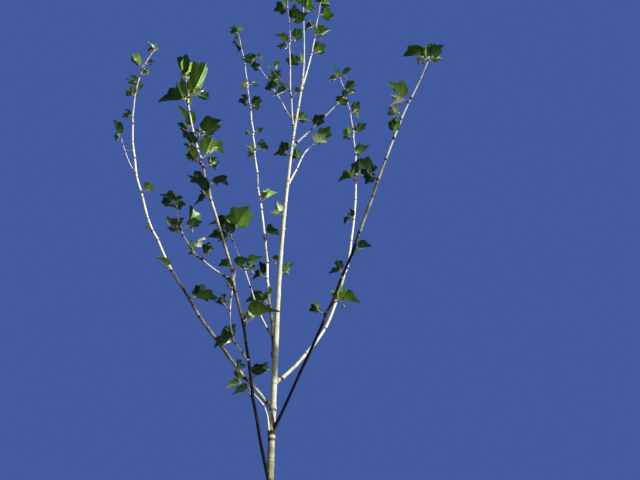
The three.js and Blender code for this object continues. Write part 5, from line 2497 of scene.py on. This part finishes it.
@dataclass(frozen=True)
class Studio:
    """The camera where the photographer stood, pale air, a pale floor and three lights.

    The key light stands high to the right, the fill light below it and the back light behind the tree.
    """

    suns: tuple[Sun, ...] = (
        Sun("key", bearing=62.0, height=33.0, strength=5.2),
        Sun("fill", bearing=62.0, height=-24.0, strength=0.9),
        Sun("back", bearing=172.0, height=35.0, strength=2.2),
    )
    camera_place: tuple[float, float, float] = (0.2016, -2.2, 1.55)
    camera_pitch: float = 35.0
    lens: float = 28.0
    sensor: float = 36.0
    air_light: tuple[float, float, float] = (0.80, 0.90, 1.0)
    air_seen: tuple[float, float, float] = (0.055, 0.105, 0.345)
    air_strength: float = 0.25
    ground_strength: float = 0.07
    ground_below: float = -0.2
    air_above: float = 0.5
    floor_radius: float = 150.0
    floor_sides: int = 96
    floor_colour: tuple[float, float, float] = (0.40, 0.40, 0.39)
    floor_roughness: float = 0.9

    def build(self) -> None:
        """Sets everything up."""
        self._camera()
        for sun in self.suns:
            sun.build()
        self._air()
        self._floor()
        bpy.context.scene.view_settings.view_transform = "Standard"

    def _camera(self) -> None:
        """The camera, which looks along +Y and up."""
        data = bpy.data.cameras.new("camera")
        data.lens, data.sensor_width = self.lens, self.sensor
        camera = linked("camera", data)
        camera.location = self.camera_place
        camera.rotation_euler = (math.radians(90 + self.camera_pitch), 0, 0)
        bpy.context.scene.camera = camera

    def _air(self) -> None:
        """Soft light from all round, and the plain colour that shows behind the tree."""
        world = bpy.data.worlds.new("air")
        world.use_nodes = True
        world.node_tree.nodes.clear()
        tree = ShaderTree(world.node_tree)
        place = tree.add("ShaderNodeTexCoord").outputs["Generated"]
        height = tree.add("ShaderNodeSeparateXYZ", {0: place}).outputs["Z"]
        strength = tree.spread(
            height, self.ground_below, self.air_above, self.ground_strength, self.air_strength)
        glow = tree.add("ShaderNodeBackground", {"Color": (*self.air_light, 1), "Strength": strength})
        seen = tree.add("ShaderNodeBackground", {"Color": (*self.air_seen, 1)})
        from_camera = tree.add("ShaderNodeLightPath").outputs["Is Camera Ray"]
        mixed = tree.add("ShaderNodeMixShader", {0: from_camera, 1: glow.outputs[0], 2: seen.outputs[0]})
        tree.add("ShaderNodeOutputWorld", {"Surface": mixed.outputs[0]})
        bpy.context.scene.world = world

    def _floor(self) -> None:
        """A wide pale disc at the ground."""
        turns = np.linspace(0, math.tau, self.floor_sides, endpoint=False)
        vertices = np.column_stack([np.cos(turns), np.sin(turns), np.zeros(len(turns))]) * self.floor_radius
        material, tree = empty_material("pale floor")
        tree.shiny(colour(*self.floor_colour), self.floor_roughness, gloss=0.5, height=0.0, strength=0.0,
                   depth=0.001)
        parts = MeshParts()
        parts.add(vertices, [np.arange(len(turns))[None]])
        floor = parts.build("floor", [material])
        floor.visible_diffuse = False
        floor.visible_shadow = False


def main() -> None:
    """Builds the tree in order."""
    logging.basicConfig(level=logging.INFO, format="%(message)s")
    nodes = sorted(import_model()["nodes"])
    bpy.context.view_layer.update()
    Studio().build()
    effects = Effects()
    skeleton = Skeleton(TrunkSize(), LIMBS)
    crown = Crown(skeleton)
    LOG.info("%d masses, %d leaves", len(crown.masses), sum(len(tuft.leaves) for tuft in crown.tufts))
    wood = Wood(skeleton, crown, nodes)
    wood.build(effects)
    Twigs(wood, crown, nodes).build(effects)
    Foliage(crown).build(effects)


if __name__ == "__main__":
    main()
